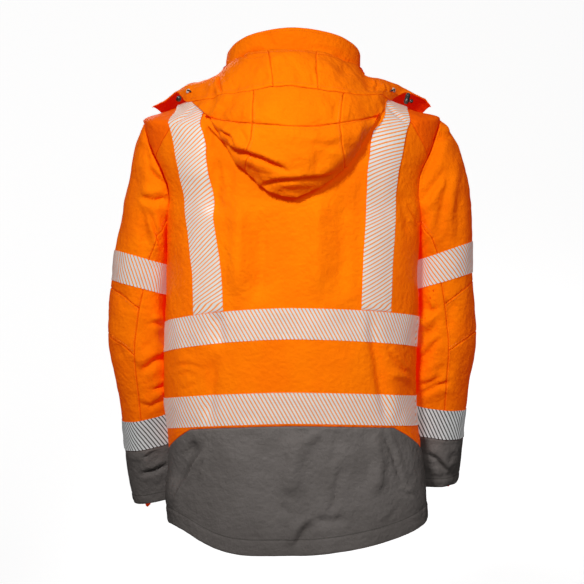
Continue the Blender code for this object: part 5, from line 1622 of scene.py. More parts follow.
    def upper_grid(self, back: bool, side: int) -> tuple[Array, Array]:
        """Turns and levels of an orange back or front.

        Args:
            back: True for the back.
            side: Side of a front.

        Returns:
            Both grids.
        """
        levels = self.levels(back)
        lowest = self.across(self.panel_top, back, side)
        seam = self.seam_level(lowest)
        shares = np.array(self.sunk_shares)[:, None]
        sunk = seam + (levels[0] - seam) * shares
        turns = [np.repeat(lowest[None], len(shares), axis=0)]
        turns += [self.across(level, back, side)[None] for level in levels]
        grid = np.concatenate([sunk, np.repeat(levels[:, None], len(lowest), axis=1)])
        return np.concatenate(turns), grid

    def panel(self, name: str, turns: Array, levels: Array, **edges: Edge) -> Panel:
        """A panel on the body from grids of turns and levels."""
        return Panel(name, self.point(turns, levels), self.normal(turns, levels), self.relief, **edges)

    def build_panels(self) -> None:
        """The back and the fronts with their grey hem panels."""
        for name, back, side in (("back", True, 1), ("front_l", False, 1), ("front_r", False, -1)):
            stem, _, letter = name.partition("_")
            tail = "_" + letter if letter else ""
            turns, levels = self.upper_grid(back, side)
            edges = {} if back else {"start": HIDDEN}
            upper = self.panel(stem + "_upper" + tail, turns, levels, low=TOPSTITCHED, **edges)
            upper.sewn(ORANGE_CLOTH)
            self.thread.run(upper.line("low", 3))
            shares = spread(self.panel_length)
            turns = np.array([self.across(self.panel_top * share, back, side) for share in shares])
            levels = self.seam_level(turns[-1]) * shares[:, None]
            lower = self.panel(stem + "_lower" + tail, turns, levels, low=BOTTOM_HEM, **edges)
            lower.sewn(GREY_CLOTH)
            hem_row = int(np.argmin(np.abs(lower.lengths(0)[:, turns.shape[1] // 2] - BOTTOM_HEM.hem)))
            faced = lower.faced()[0]
            self.grey_thread.run((faced[hem_row], lower.normals[hem_row]))
        self.thread.build(ORANGE_THREAD)
        self.grey_thread.build(GREY_THREAD)

    def build_yokes(self) -> None:
        """The deeper orange shoulder pieces between armhole, neck and the yoke seams."""
        for letter, side in SIDES.items():
            columns = rows = spread(self.yoke_size)
            phase = self.yoke_front_phase + (self.yoke_back_phase - self.yoke_front_phase) * columns
            arm_turn, arm_level = self.armhole(phase)
            back_levels = arm_level[-1] + (self.neck - arm_level[-1]) * rows
            front_levels = arm_level[0] + (self.neck - arm_level[0]) * rows
            back_seam = np.array([self.border(level + SLACK, 1, True) for level in back_levels])
            front_seam = np.array([self.border(level + SLACK, 1, False) for level in front_levels])
            p, q = rows[:, None], columns[None, :]
            neck_turn = front_seam[-1] + (back_seam[-1] - front_seam[-1]) * q
            turns = (1 - p) * arm_turn + p * neck_turn
            turns = turns + (1 - q) * front_seam[:, None] + q * back_seam[:, None]
            turns -= (1 - p) * ((1 - q) * arm_turn[0] + q * arm_turn[-1]) + p * neck_turn
            levels = (1 - p) * arm_level + p * self.neck
            levels = levels + (1 - q) * front_levels[:, None] + q * back_levels[:, None]
            levels -= (1 - p) * ((1 - q) * arm_level[0] + q * arm_level[-1]) + p * self.neck
            placed = turns if side > 0 else math.pi - turns
            yoke = self.panel("yoke_" + letter, placed, levels, low=ARMHOLE, start=TOPSTITCHED,
                              end=TOPSTITCHED)
            yoke.normals *= np.sign(yoke.normals[:, :, 2].mean())
            yoke.sewn(DEEP_CLOTH, rests_on=())

    def build_tapes(self) -> None:
        """The waist and chest tapes, over the same grid as the panels under them."""
        for tape, (low, high) in (("waist", self.waist_tape), ("chest", self.chest_tape)):
            for tail, back, side in (("back", True, 1), ("front_l", False, 1), ("front_r", False, -1)):
                levels = self.levels(back)
                levels = levels[(levels > low - SLACK) & (levels < high + SLACK)]
                turns = np.array([self.across(level, back, side) for level in levels])
                grid = np.repeat(levels[:, None], turns.shape[1], axis=1)
                strip = self.panel(f"tape_{tape}_{tail}", turns, grid, low=FREE, high=FREE)
                strip.thickness = TAPE_CLOTH
                strip.lift = TAPE_LIFT + TAPE_CLOTH
                under = tail.replace("back", "back_upper").replace("front", "front_upper")
                strip.sewn(ORANGE_TAPE, "laid", (under,))


@dataclass
class Braces:
    """The two tapes that run over the shoulders, from chest tape to chest tape."""

    body: Body
    back: dict[int, tuple[Row, ...]] = field(default_factory=lambda: {
        1: ((0.137, -0.370), (0.1385, -0.318), (0.145, -0.270), (0.154, -0.217), (0.159, -0.170),
            (0.1635, -0.125), (0.1675, -0.090), (0.169, -0.060)),
        -1: ((-0.138, -0.370), (-0.140, -0.310), (-0.1415, -0.270), (-0.145, -0.220), (-0.1465, -0.180),
             (-0.1505, -0.122), (-0.156, -0.075), (-0.158, -0.050)),
    })
    top: tuple[Row, ...] = ((0.162, 0.060), (0.158, 0.020), (0.154, -0.020), (0.149, -0.055))
    front: tuple[Row, ...] = ((0.146, -0.090), (0.142, -0.140), (0.139, -0.205), (0.137, -0.280),
                              (0.136, -0.383))
    width: float = 0.054
    clear: float = 0.012
    shoulder_lift: float = 0.0022
    shoulder_level: float = 9.0
    cells: int = 14
    ease_rows: int = 14
    first_turn: float = 50.0
    find_rounds: int = 30
    find_moves: tuple[float, float] = (0.15, 0.5)
    median_rows: int = 6
    width_rounds: int = 3
    width_change: tuple[float, float] = (0.5, 2.0)
    end_shares: Row = (0.0, 0.35, 0.7)

    def find(self, targets: Array, axes: tuple[int, int], guess: Array) -> Array:
        """Turns and levels of the body points that have two coordinates.

        Args:
            targets: Two coordinates in each row.
            axes: Which axes they are.
            guess: Turn and level to start from in each row.

        Returns:
            Turn and level in each row.
        """
        places = np.array(guess, dtype=float)
        pick = list(axes)
        step = FINE_STEP
        turn_most, level_most = self.find_moves
        for _ in range(self.find_rounds):
            turn, level = places.T
            here = self.body.point(turn, level)[:, pick]
            a, c = ((self.body.point(turn + step, level)[:, pick] - here) / step).T
            b, d = ((self.body.point(turn, level + step)[:, pick] - here) / step).T
            miss = targets - here
            size = a * d - b * c
            size = np.where(np.abs(size) < 1e-9, 1e-9, size)
            by_turn = (miss[:, 0] * d - miss[:, 1] * b) / size
            by_level = (miss[:, 1] * a - miss[:, 0] * c) / size
            places[:, 0] += np.clip(by_turn, -turn_most, turn_most)
            places[:, 1] += np.clip(by_level, -level_most, level_most)
            places[:, 1] = np.clip(places[:, 1], 0.0, self.body.neck)
        return places

    def centre_line(self, side: int) -> tuple[Table, float]:
        """Turns and levels along the middle of one brace.

        Args:
            side: 1 for left, -1 for right.

        Returns:
            The table over the length in metres, and the whole length.
        """
        start = math.radians(self.first_turn)
        guess = np.array([[start if side > 0 else math.pi - start, self.body.chest_tape[1]]])
        knots = []
        for places, axes, flip in ((self.back[side], (0, 2), 1), (self.top, (0, 1), side),
                                   (self.front, (0, 2), side)):
            for place in places:
                guess = self.find(np.array([[place[0] * flip, place[1]]]), axes, guess)
                knots.append(guess[0])
        knots = np.array(knots)
        places = self.body.point(knots[:, 0], knots[:, 1])
        lengths = np.concatenate([[0.0], np.cumsum(np.linalg.norm(np.diff(places, axis=0), axis=1))])
        return Table(("s", "turn", "level"), np.column_stack([lengths, knots])), float(lengths[-1])

    def eased(self, values: Array) -> Array:
        """Values along the tape without the knots' small turns.

        Args:
            values: One value in each row.

        Returns:
            The eased values, with the ends kept.
        """
        reach = self.ease_rows
        padded = np.concatenate([2.0 * values[0] - values[reach:0:-1], values,
                                 2.0 * values[-1] - values[-2:-reach - 2:-1]])
        window = np.hanning(2 * reach + 3)[1:-1]
        return np.convolve(padded, window / window.sum(), mode="valid")

    def across(self, turns: Array, levels: Array, tangent: Array) -> tuple[Array, Array]:
        """The way across the tape in each row, without sudden changes.

        Args:
            turns: Turns along the middle line.
            levels: Its levels.
            tangent: Its directions.

        Returns:
            Turn and level of one metre across, and the chord from edge to edge.
        """
        point, step = self.body.point, SLOPE_STEP
        by_turn = (point(turns + step, levels) - point(turns - step, levels)) / (2.0 * step)
        by_level = (point(turns, levels + step) - point(turns, levels - step)) / (2.0 * step)
        sideways = unit(np.cross(tangent, unit(np.cross(by_turn, by_level))))
        slopes = np.stack([by_turn, by_level], axis=-1)
        moves = np.array([np.linalg.lstsq(s, way, rcond=None)[0] for s, way in zip(slopes, sideways)])
        reach = self.median_rows
        padded = np.pad(moves, ((reach, reach), (0, 0)), mode="edge")
        windows = np.lib.stride_tricks.sliding_window_view(padded, 2 * reach + 1, axis=0)
        moves = np.median(windows, axis=-1)
        moves = np.stack([self.eased(move) for move in moves.T], axis=1)
        for _ in range(self.width_rounds):
            half = 0.5 * self.width * moves.T
            chord = point(turns + half[0], levels + half[1]) - point(turns - half[0], levels - half[1])
            share = self.width / np.linalg.norm(chord, axis=1)
            moves *= self.eased(np.clip(share, *self.width_change))[:, None]
        return moves, chord

    def strip(self, letter: str) -> Panel:
        """One brace as a panel, with its bars mapped straight along the tape.

        Args:
            letter: l or r.

        Returns:
            The panel.
        """
        line, length = self.centre_line(SIDES[letter])
        stops = np.linspace(0.0, length, int(length / CELL))
        turns, levels = self.eased(line.at("turn", stops)), self.eased(line.at("level", stops))
        point = self.body.point
        tangent = unit(np.gradient(point(turns, levels), axis=0))
        moves, chord = self.across(turns, levels, tangent)
        offsets = np.linspace(-0.5, 0.5, self.cells + 1)[:, None] * self.width
        grid_turns = turns + offsets * moves[:, 0]
        grid_levels = levels + offsets * moves[:, 1]
        end_level = self.body.chest_tape[1] + self.clear
        for number, share in enumerate(self.end_shares):
            for column in (number, -1 - number):
                grid_levels[:, column] = end_level + (grid_levels[:, column] - end_level) * share
        normals = self.body.normal(grid_turns, grid_levels)
        rise = np.clip(grid_levels - self.shoulder_level + 1.0, 0.0, 1.0)
        points = point(grid_turns, grid_levels) + normals * (rise * self.shoulder_lift)[..., None]
        skew = self.eased((unit(chord) * tangent).sum(axis=1))
        flat = np.broadcast_to(offsets, points.shape[:2]), stops + offsets * skew
        return Panel("brace_" + letter, points, normals, brace_relief(self.body.relief), FREE, FREE,
                     thickness=TAPE_CLOTH, lift=BRACE_LIFT + TAPE_CLOTH, flat=flat)

    def build(self) -> None:
        """Both braces."""
        for letter in SIDES:
            under = ("back_upper", "yoke_" + letter, "front_upper_" + letter)
            self.strip(letter).sewn(BRACE_TAPE, "laid", under)


def body_relief() -> Relief:
    """Folds of the back and fronts."""
    ripples = (Ripple(0.075, 0.0040, 3.2), Ripple(0.034, 0.0022, 1.5), Ripple(0.015, 0.0007, 1.0))
    swells = tuple(Swell((side * 0.209, 0.01, -0.225), (0.03, 0.12, 0.07), 0.0026) for side in (-1, 1))
    return Relief(BACK_FOLDS + front_folds(BACK_FOLDS, 0.03), ripples, swells, seed=3, strength=2.3,
                  calm_front=0.045)


def brace_relief(under: Relief) -> Relief:
    """The body's folds, with the yoke seam showing through the tape."""
    return replace(under, folds=under.folds + YOKE_SEAM_FOLDS)


# ------------------------------------------------------------------ the sleeves


@dataclass
class Sleeve:
    """One sleeve with its elbow patch, tapes, cuff and cuff trims."""

    body: Body
    letter: str
    header: tuple[str, ...] = ("station", "out_x", "out_z", "in_x", "in_z", "mid_y", "half_y", "pitch")
    rows: dict[str, tuple[Row, ...]] = field(default_factory=lambda: {
        "l": (
            (1.0, 0.254, -0.068, 0.213, -0.245, -0.004, 0.066, 0.00),
            (2.0, 0.262, -0.098, 0.213, -0.256, -0.009, 0.071, 0.00),
            (3.0, 0.271, -0.140, 0.213, -0.266, -0.015, 0.075, 0.00),
            (4.0, 0.282, -0.185, 0.212, -0.275, -0.022, 0.078, 0.00),
            (5.0, 0.290, -0.228, 0.211, -0.284, -0.028, 0.079, 0.00),
            (6.0, 0.298, -0.269, 0.211, -0.294, -0.034, 0.079, 0.00),
            (7.0, 0.305, -0.319, 0.213, -0.344, -0.040, 0.077, 0.00),
            (8.0, 0.310, -0.360, 0.214, -0.384, -0.043, 0.074, 0.00),
            (9.0, 0.311, -0.406, 0.214, -0.425, -0.046, 0.070, -0.04),
            (10.0, 0.306, -0.454, 0.212, -0.464, -0.052, 0.066, -0.08),
            (11.0, 0.299, -0.504, 0.209, -0.501, -0.060, 0.062, -0.10),
            (12.0, 0.293, -0.559, 0.205, -0.539, -0.072, 0.057, -0.12),
            (13.0, 0.288, -0.606, 0.198, -0.586, -0.084, 0.053, -0.14),
            (14.0, 0.283, -0.653, 0.191, -0.633, -0.097, 0.050, -0.15),
            (15.0, 0.275, -0.701, 0.187, -0.682, -0.110, 0.047, -0.15),
        ),
        "r": (
            (1.0, 0.262, -0.064, 0.217, -0.245, -0.004, 0.066, 0.00),
            (2.0, 0.276, -0.089, 0.216, -0.255, -0.009, 0.071, 0.00),
            (3.0, 0.288, -0.122, 0.215, -0.264, -0.015, 0.075, 0.00),
            (4.0, 0.296, -0.160, 0.215, -0.271, -0.022, 0.078, 0.00),
            (5.0, 0.301, -0.205, 0.214, -0.279, -0.028, 0.079, 0.00),
            (6.0, 0.304, -0.254, 0.214, -0.286, -0.034, 0.079, 0.00),
            (7.0, 0.308, -0.306, 0.213, -0.334, -0.040, 0.077, 0.00),
            (8.0, 0.311, -0.356, 0.213, -0.376, -0.043, 0.074, 0.00),
            (9.0, 0.312, -0.402, 0.210, -0.417, -0.046, 0.070, -0.04),
            (10.0, 0.309, -0.446, 0.207, -0.454, -0.052, 0.066, -0.08),
            (11.0, 0.303, -0.492, 0.205, -0.490, -0.060, 0.062, -0.10),
            (12.0, 0.300, -0.538, 0.203, -0.526, -0.072, 0.057, -0.12),
            (13.0, 0.296, -0.585, 0.202, -0.573, -0.084, 0.053, -0.14),
            (14.0, 0.293, -0.629, 0.202, -0.619, -0.097, 0.050, -0.15),
            (15.0, 0.286, -0.668, 0.199, -0.664, -0.110, 0.047, -0.15),
        ),
    })
    seam_rows: tuple[Row, ...] = ((0.0, 144.0, 144.0), (3.0, 128.0, 134.0), (6.0, 112.0, 126.0),
                                  (8.0, 98.0, 122.0), (10.0, 86.0, 120.0), (15.0, 80.0, 118.0))
    seam_phase: float = math.radians(144.0)
    upper_tape: tuple[float, float] = (6.0, 7.0)
    lower_tape: tuple[float, float] = (12.0, 13.045)
    elbow: tuple[float, float] = (7.30, 9.05)
    elbow_dip: float = 0.55
    cuff_top: float = 13.06
    cuff: float = 15.0
    square: float = 2.1
    inner_square: float = 3.4
    station_length: float = 0.046
    outer_width: float = 0.34
    inner_width: float = 0.15
    dip_end: float = 11.0
    phase_step: float = 0.02
    station_step: float = 0.1

    def __post_init__(self) -> None:
        """Read the tables and settle the folds."""
        self.side = SIDES[self.letter]
        self.table = Table(self.header, self.rows[self.letter])
        self.seams = Table(("station", "back", "front"), self.seam_rows)
        self.relief = sleeve_relief(self.side)
        self.thread = Thread("stitching_sleeve_" + self.letter)
        left = self.side > 0
        self.tape_finish = {"tape_arm_upper": LEFT_SLEEVE_TAPE if left else ORANGE_TAPE,
                            "tape_arm_lower": LEFT_GREY_TAPE if left else GREY_TAPE}

    def turn(self, phase: Array, station: Array) -> Array:
        """Turn of a section at a phase, so that both seams stay at one phase.

        Args:
            phase: From -pi to pi, 0 on the outer line and above 0 at the back.
            station: Way down the sleeve.

        Returns:
            The turn.
        """
        back = np.radians(self.seams.at("back", station))
        front = np.radians(self.seams.at("front", station))
        seam = self.seam_phase
        phase = np.asarray(phase, dtype=float)
        outer = np.where(phase > 0.0, back, front) * phase / seam
        under = (phase - seam) / (2.0 * (math.pi - seam))
        below = back + (2.0 * math.pi - front - back) * under
        return np.where(np.abs(phase) <= seam, outer, below)

    def section(self, turn: Array, station: Array) -> Array:
        """Points of a section.

        Args:
            turn: Way round, 0 on the outer line and a quarter turn at the back.
            station: Way down, 1 or more.

        Returns:
            The points.
        """
        table = self.table
        zero = np.zeros_like(station)
        outer = np.stack([table.at("out_x", station), zero, table.at("out_z", station)], axis=-1)
        inner = np.stack([table.at("in_x", station), zero, table.at("in_z", station)], axis=-1)
        centre = 0.5 * (outer + inner)
        centre[..., 1] += table.at("mid_y", station)
        half = table.at("half_y", station)
        depth = np.stack([zero, half, half * table.at("pitch", station)], axis=-1)
        cosine, sine = np.cos(turn), np.sin(turn)
        square = np.where(cosine < 0.0, self.inner_square, self.square)
        reach = superellipse(cosine, sine, square)
        wide = (cosine * reach)[..., None] * 0.5 * (outer - inner)
        points = centre + wide + (sine * reach)[..., None] * depth
        return points * np.array([self.side, 1.0, 1.0])

    def point(self, phase: Array, station: Array) -> Array:
        """Outer face of the sleeve; station 0 is the armhole itself.

        Args:
            phase: Way round.
            station: Way down.

        Returns:
            The points.
        """
        phase, station = paired(phase, station)
        low = np.maximum(station, 1.0)
        below = self.section(self.turn(phase, low), low)
        armhole = self.body.armhole_point(phase, self.side)
        share = np.clip(station, 0.0, 1.0)[..., None]
        return armhole + (below - armhole) * share

    def normal(self, phase: Array, station: Array) -> Array:
        """Outward normals of the sleeve.

        Args:
            phase: Way round.
            station: Way down.

        Returns:
            The normals.
        """
        step, rise = self.phase_step, self.station_step
        phase, station = paired(phase, station)
        around = self.point(phase + step, station) - self.point(phase - step, station)
        down = self.point(phase, station + rise) - self.point(phase, np.maximum(station - rise, 0.0))
        return unit(np.cross(down, around)) * self.side

    def dip(self, phase: Array, station: Array) -> Array:
        """Extra station of the elbow seams towards the sleeve seams."""
        share = np.clip(np.abs(phase) / self.seam_phase, 0.0, 1.0)
        share = np.where(np.abs(phase) > self.seam_phase, 1.0, share)
        inside = np.interp(station, (self.upper_tape[1], *self.elbow, self.dip_end), (0.0, 1.0, 1.0, 0.0))
        return self.elbow_dip * share ** 2 * inside

    def grid(self, first: float, last: float, phases: Array, low: bool = True,
             high: bool = True) -> tuple[Array, Array]:
        """Phases and stations of a block, dipped as the elbow seams are.

        Args:
            first: First station.
            last: Last station.
            phases: Its columns.
            low: True for border lines at the first station.
            high: True for border lines at the last station.

        Returns:
            Both grids.
        """
        length = (last - first) * self.station_length
        stations = first + (last - first) * spread(length, low=low, high=high)
        phase, station = np.meshgrid(phases, stations)
        return phase, station + self.dip(phase, station)

    def panel(self, name: str, grids: tuple[Array, Array], **edges: Edge | bool) -> Panel:
        """A sleeve panel from grids of phases and stations."""
        return Panel(f"{name}_{self.letter}", self.point(*grids), self.normal(*grids), self.relief, **edges)

    def build(self) -> None:
        """Every cloth piece of the sleeve."""
        outer = -self.seam_phase + 2.0 * self.seam_phase * spread(self.outer_width)
        inner = self.seam_phase + 2.0 * (math.pi - self.seam_phase) * spread(self.inner_width)
        ring = np.concatenate([outer, inner[1:-1]])
        yoke = ("yoke_" + self.letter,)
        sides = {"start": TOPSTITCHED, "end": TOPSTITCHED}
        top = self.panel("sleeve_top", self.grid(0.0, self.elbow[0], outer), low=ARMHOLE, **sides)
        elbow = self.panel("sleeve_elbow", self.grid(*self.elbow, outer), low=TOPSTITCHED, high=TOPSTITCHED,
                           **sides)
        fore = self.panel("sleeve_fore", self.grid(self.elbow[1], self.cuff_top, outer), **sides)
        below = self.panel("sleeve_under", self.grid(0.0, self.cuff_top, inner), low=ARMHOLE)
        cuff = self.panel("sleeve_cuff", self.grid(self.cuff_top, self.cuff, ring), high=CUFF_HEM,
                          closed=True)
        for panel in (top, elbow, fore, below, cuff):
            panel.sewn(GREY_CLOTH if panel is cuff else ORANGE_CLOTH, rests_on=yoke)
        for name, (first, last), under in (("tape_arm_upper", self.upper_tape, "sleeve_top_"),
                                           ("tape_arm_lower", self.lower_tape, "sleeve_fore_")):
            grids = self.grid(first, last, ring, False, False)
            strip = self.panel(name, grids, low=FREE, high=FREE, closed=True)
            strip.thickness, strip.lift = TAPE_CLOTH, SLEEVE_TAPE_LIFT + TAPE_CLOTH
            strip.sewn(self.tape_finish[name], "laid", (under + self.letter,))
        for panel, borders in ((top, ("start", "end")), (elbow, ("low", "high", "start", "end")),
                               (fore, ("start", "end"))):
            for border in borders:
                self.thread.run(panel.line(border))
        self.thread.build(ORANGE_THREAD)


SLEEVE_TAPES = ((-0.345, -0.262), (-0.602, -0.532))


def sleeve_relief(side: int) -> Relief:
    """Folds of one sleeve.

    Args:
        side: 1 for left, -1 for right.

    Returns:
        The relief.
    """
    back = LEFT_SLEEVE_FOLDS if side > 0 else RIGHT_SLEEVE_FOLDS
    other = RIGHT_SLEEVE_FOLDS if side > 0 else LEFT_SLEEVE_FOLDS
    ripples = (Ripple(0.060, 0.0028, 1.8), Ripple(0.026, 0.0016, 1.2), Ripple(0.012, 0.0006, 1.0))
    swells = (Swell((side * 0.214, 0.01, -0.235), (0.03, 0.12, 0.06), 0.0028),)
    return Relief(back + front_folds(other, 0.0), ripples, swells, seed=7 + side, taped=SLEEVE_TAPES)


# ------------------------------------------------------------------ collar and hood


@dataclass
class Collar:
    """The stand collar."""

    body: Body
    top_left: float = 0.1085
    top_right: float = 0.1150
    top_back: float = 0.0860
    top_front: float = 0.0990
    z_side: float = 0.0585
    z_back: float = 0.0930
    z_front: float = 0.0150
    square: float = 2.2
    crown: float = 1.4
    bow: float = 0.0020
    rise: float = 0.0005
    length: float = 0.66
    height: float = 0.08
    cell: float = 0.0030

    def point(self, turn: Array, rise: Array) -> Array:
        """Outer face of the collar.

        Args:
            turn: Way round.
            rise: 0 at the neck seam and 1 at the top edge.

        Returns:
            The points.
        """
        turn, rise = paired(turn, rise)
        base = self.body.point(turn, np.full(turn.shape, self.body.neck)) + np.array([0.0, 0.0, self.rise])
        cosine, sine = np.cos(turn), np.sin(turn)
        reach = superellipse(cosine, sine, self.square)
        side = np.where(cosine > 0.0, self.top_left, self.top_right)
        depth = np.where(sine > 0.0, self.top_back, self.top_front)
        middle = np.where(sine > 0.0, self.z_back, self.z_front)
        top_z = self.z_side + (middle - self.z_side) * np.abs(sine) ** self.crown
        top = np.stack([side * cosine * reach, depth * sine * reach, top_z], axis=-1)
        outward = np.stack([cosine, sine, np.zeros_like(turn)], axis=-1)
        rise = rise[..., None]
        return base + (top - base) * rise + outward * self.bow * 4.0 * rise * (1.0 - rise)

    def build(self) -> None:
        """The collar with its turned top edge and topstitching."""
        half = self.body.zip_half_gap / self.top_front
        turns = 1.5 * math.pi + half + (2.0 * math.pi - 2.0 * half) * spread(self.length)
        turn, rise = np.meshgrid(turns, spread(self.height, self.cell))
        points = self.point(turn, rise)
        normals = surface_normals(self.point, turn, rise)
        relief = Relief(COLLAR_FOLDS, (Ripple(0.040, 0.0014, 1.0), Ripple(0.016, 0.0004, 1.0)), seed=17)
        top = Edge(dip=0.0010, reach=0.0018, stitch=0.0003, pucker=0.0004)
        collar = Panel("collar", points, normals, relief, SEAM, top, top, top, thickness=COLLAR_CLOTH)
        collar.sewn(ORANGE_CLOTH)
        thread = Thread("stitching_collar")
        for border in ("high", "start", "end"):
            thread.run(collar.line(border))
        thread.build(ORANGE_THREAD)


@dataclass
class Hood:
    """The hood thrown back: brim with its wings, band, crown and nape piece."""

    body: Body
    braces: Braces
    brim_header: tuple[str, ...] = ("station", "mouth_x", "mouth_y", "mouth_z", "crest_x", "crest_y",
                                    "crest_z", "seam_x", "seam_y", "seam_z")
    brim_rows: tuple[Row, ...] = (
        (0.0, 0.2170, -0.036, -0.0410, 0.2270, -0.014, -0.0320, 0.2350, 0.002, -0.0290),
        (1.0, 0.2060, -0.050, -0.0350, 0.2110, -0.022, -0.0205, 0.2130, 0.005, -0.0165),
        (2.0, 0.1900, -0.060, -0.0290, 0.1935, -0.020, -0.0060, 0.1925, 0.018, -0.0065),
        (3.0, 0.1680, -0.064, -0.0230, 0.1720, 0.008, 0.0070, 0.1733, 0.058, -0.0265),
        (4.0, 0.1400, -0.056, -0.0080, 0.1420, 0.022, 0.0150, 0.1440, 0.096, -0.0255),
        (5.0, 0.1230, -0.022, 0.0110, 0.1210, 0.036, 0.0240, 0.1180, 0.120, -0.0220),
        (6.0, 0.1125, 0.032, 0.0310, 0.1050, 0.070, 0.0340, 0.0917, 0.143, -0.0197),
        (7.0, 0.0760, 0.083, 0.0450, 0.0720, 0.112, 0.0380, 0.0591, 0.161, -0.0155),
        (8.0, 0.0380, 0.108, 0.0520, 0.0350, 0.138, 0.0410, 0.0287, 0.170, -0.0117),
        (9.0, 0.0000, 0.114, 0.0538, 0.0000, 0.144, 0.0430, 0.0000, 0.172, -0.0119),
        (10.0, -0.0400, 0.107, 0.0500, -0.0400, 0.136, 0.0390, -0.0414, 0.170, -0.0165),
        (11.0, -0.0760, 0.083, 0.0410, -0.0760, 0.112, 0.0340, -0.0767, 0.161, -0.0203),
        (12.0, -0.1155, 0.032, 0.0290, -0.1085, 0.068, 0.0310, -0.1060, 0.143, -0.0207),
        (13.0, -0.1245, -0.022, 0.0100, -0.1235, 0.036, 0.0195, -0.1296, 0.119, -0.0192),
        (14.0, -0.1400, -0.056, -0.0080, -0.1430, 0.022, 0.0165, -0.1480, 0.096, -0.0170),
        (15.0, -0.1720, -0.064, -0.0230, -0.1756, 0.008, 0.0080, -0.1640, 0.060, -0.0245),
        (16.0, -0.1900, -0.060, -0.0290, -0.1940, -0.020, -0.0030, -0.1910, 0.020, -0.0050),
        (17.0, -0.2060, -0.050, -0.0350, -0.2120, -0.022, -0.0185, -0.2180, 0.005, -0.0140),
        (18.0, -0.2170, -0.036, -0.0410, -0.2270, -0.014, -0.0315, -0.2345, 0.002, -0.0280),
    )
    crown_header: tuple[str, ...] = ("station", "seam_x", "seam_y", "seam_z", "edge_x", "edge_z")
    crown_rows: tuple[Row, ...] = (
        (3.25, 0.1375, 0.121, -0.0540, 0.1290, -0.0660),
        (4.00, 0.1270, 0.132, -0.0600, 0.1200, -0.0780),
        (5.00, 0.1074, 0.152, -0.0658, 0.1110, -0.0980),
        (6.00, 0.0880, 0.170, -0.0690, 0.1000, -0.1140),
        (7.00, 0.0600, 0.186, -0.0725, 0.0700, -0.1500),
        (8.00, 0.0320, 0.196, -0.0752, 0.0400, -0.1740),
        (9.00, 0.0000, 0.200, -0.0776, -0.0030, -0.1880),
        (10.00, -0.0380, 0.197, -0.0765, -0.0420, -0.1700),
        (11.00, -0.0700, 0.187, -0.0730, -0.0760, -0.1480),
        (12.00, -0.0960, 0.171, -0.0680, -0.0980, -0.1240),
        (13.00, -0.1180, 0.151, -0.0625, -0.1130, -0.1000),
        (14.00, -0.1350, 0.131, -0.0570, -0.1230, -0.0840),
        (14.75, -0.1450, 0.120, -0.0530, -0.1330, -0.0680),
    )
    left_end: float = 3.25
    right_end: float = 14.75
    last_station: float = 18.0
    seam_stations: tuple[float, float] = (6.9, 11.2)
    dart_stations: tuple[float, float] = (7.95, 10.0)
    run_lengths: Row = (0.14, 0.04, 0.07, 0.045, 0.16)
    wing_length: float = 0.085
    brim_length: float = 0.11
    band_length: float = 0.055
    crown_length: float = 0.12
    nape_length: float = 0.14
    edge_lift: float = 0.0180
    crown_bulge: float = 0.022
    crown_sag: float = 0.25
    crown_power: float = 0.7
    band_bulge: float = 0.006
    nape_lift: float = 0.0084
    nape_level: float = 13.93
    nape_turn: float = 12.0
    crest_share: float = 0.45
    guess_turn: float = 6.0
    guess_level: float = 10.5
    under: tuple[str, str] = ("collar", "back_upper")

    def __post_init__(self) -> None:
        """Read the tables and settle the folds."""
        self.brim_table = Table(self.brim_header, self.brim_rows)
        self.crown_table = Table(self.crown_header, self.crown_rows)
        self.relief = hood_relief()
        self.thread = Thread("stitching_hood")

    def brim_point(self, station: Array, share: Array) -> Array:
        """The brim: share 0 is the mouth edge and 1 the first cross seam.

        Args:
            station: Way along, from the left wing tip to the right one.
            share: Way over the brim.

        Returns:
            The points.
        """
        share = np.asarray(share, dtype=float)[..., None]
        mouth, crest, seam = (self.brim_table.point(name, station) for name in ("mouth", "crest", "seam"))
        middle = self.crest_share
        first = (share - middle) * (share - 1.0) / middle
        second = share * (1.0 - share) / (middle * (1.0 - middle))
        third = share * (share - middle) / (1.0 - middle)
        return mouth * first + crest * second + seam * third

    def edge_places(self, stations: Array) -> Array:
        """Turn and level on the body of the hood's lower edge, one row per station."""
        targets = np.stack([self.crown_table.at(name, stations) for name in ("edge_x", "edge_z")], axis=-1)
        turns = 0.5 * math.pi - self.guess_turn * targets[:, 0]
        guess = np.stack([turns, np.full(len(stations), self.guess_level)], axis=-1)
        return self.braces.find(targets, (0, 2), guess)

    def band(self, stations: Array, shares: Array) -> Array:
        """The band between both cross seams.

        Args:
            stations: Way along.
            shares: Way down, from 0 to 1.

        Returns:
            The points, a row for each share.
        """
        top = self.brim_table.point("seam", stations)
        low = self.crown_table.point("seam", stations)
        share = shares[:, None, None]
        bulge = self.band_bulge * 4.0 * share * (1.0 - share)
        return top + (low - top) * share + bulge * np.array([0.0, 1.0, 0.0])

    def crown(self, stations: Array, shares: Array, places: Array) -> Array:
        """The crown below the second cross seam.

        Args:
            stations: Way along.
            shares: Way down, from 0 to 1.
            places: The lower edge's turns and levels.

        Returns:
            The points, a row for each share.
        """
        top = self.crown_table.point("seam", stations)
        normals = self.body.normal(places[:, 0], places[:, 1])
        low = self.body.point(places[:, 0], places[:, 1]) + normals * self.edge_lift
        ends = (stations - self.left_end) / (self.right_end - self.left_end)
        swell = np.sin(math.pi * np.clip(ends, 0.0, 1.0)) ** self.crown_power
        share = shares[:, None, None]
        bulge = self.crown_bulge * 4.0 * share * (1.0 - share) * swell[None, :, None]
        return top + (low - top) * share + bulge * np.array([0.0, 1.0, -self.crown_sag])

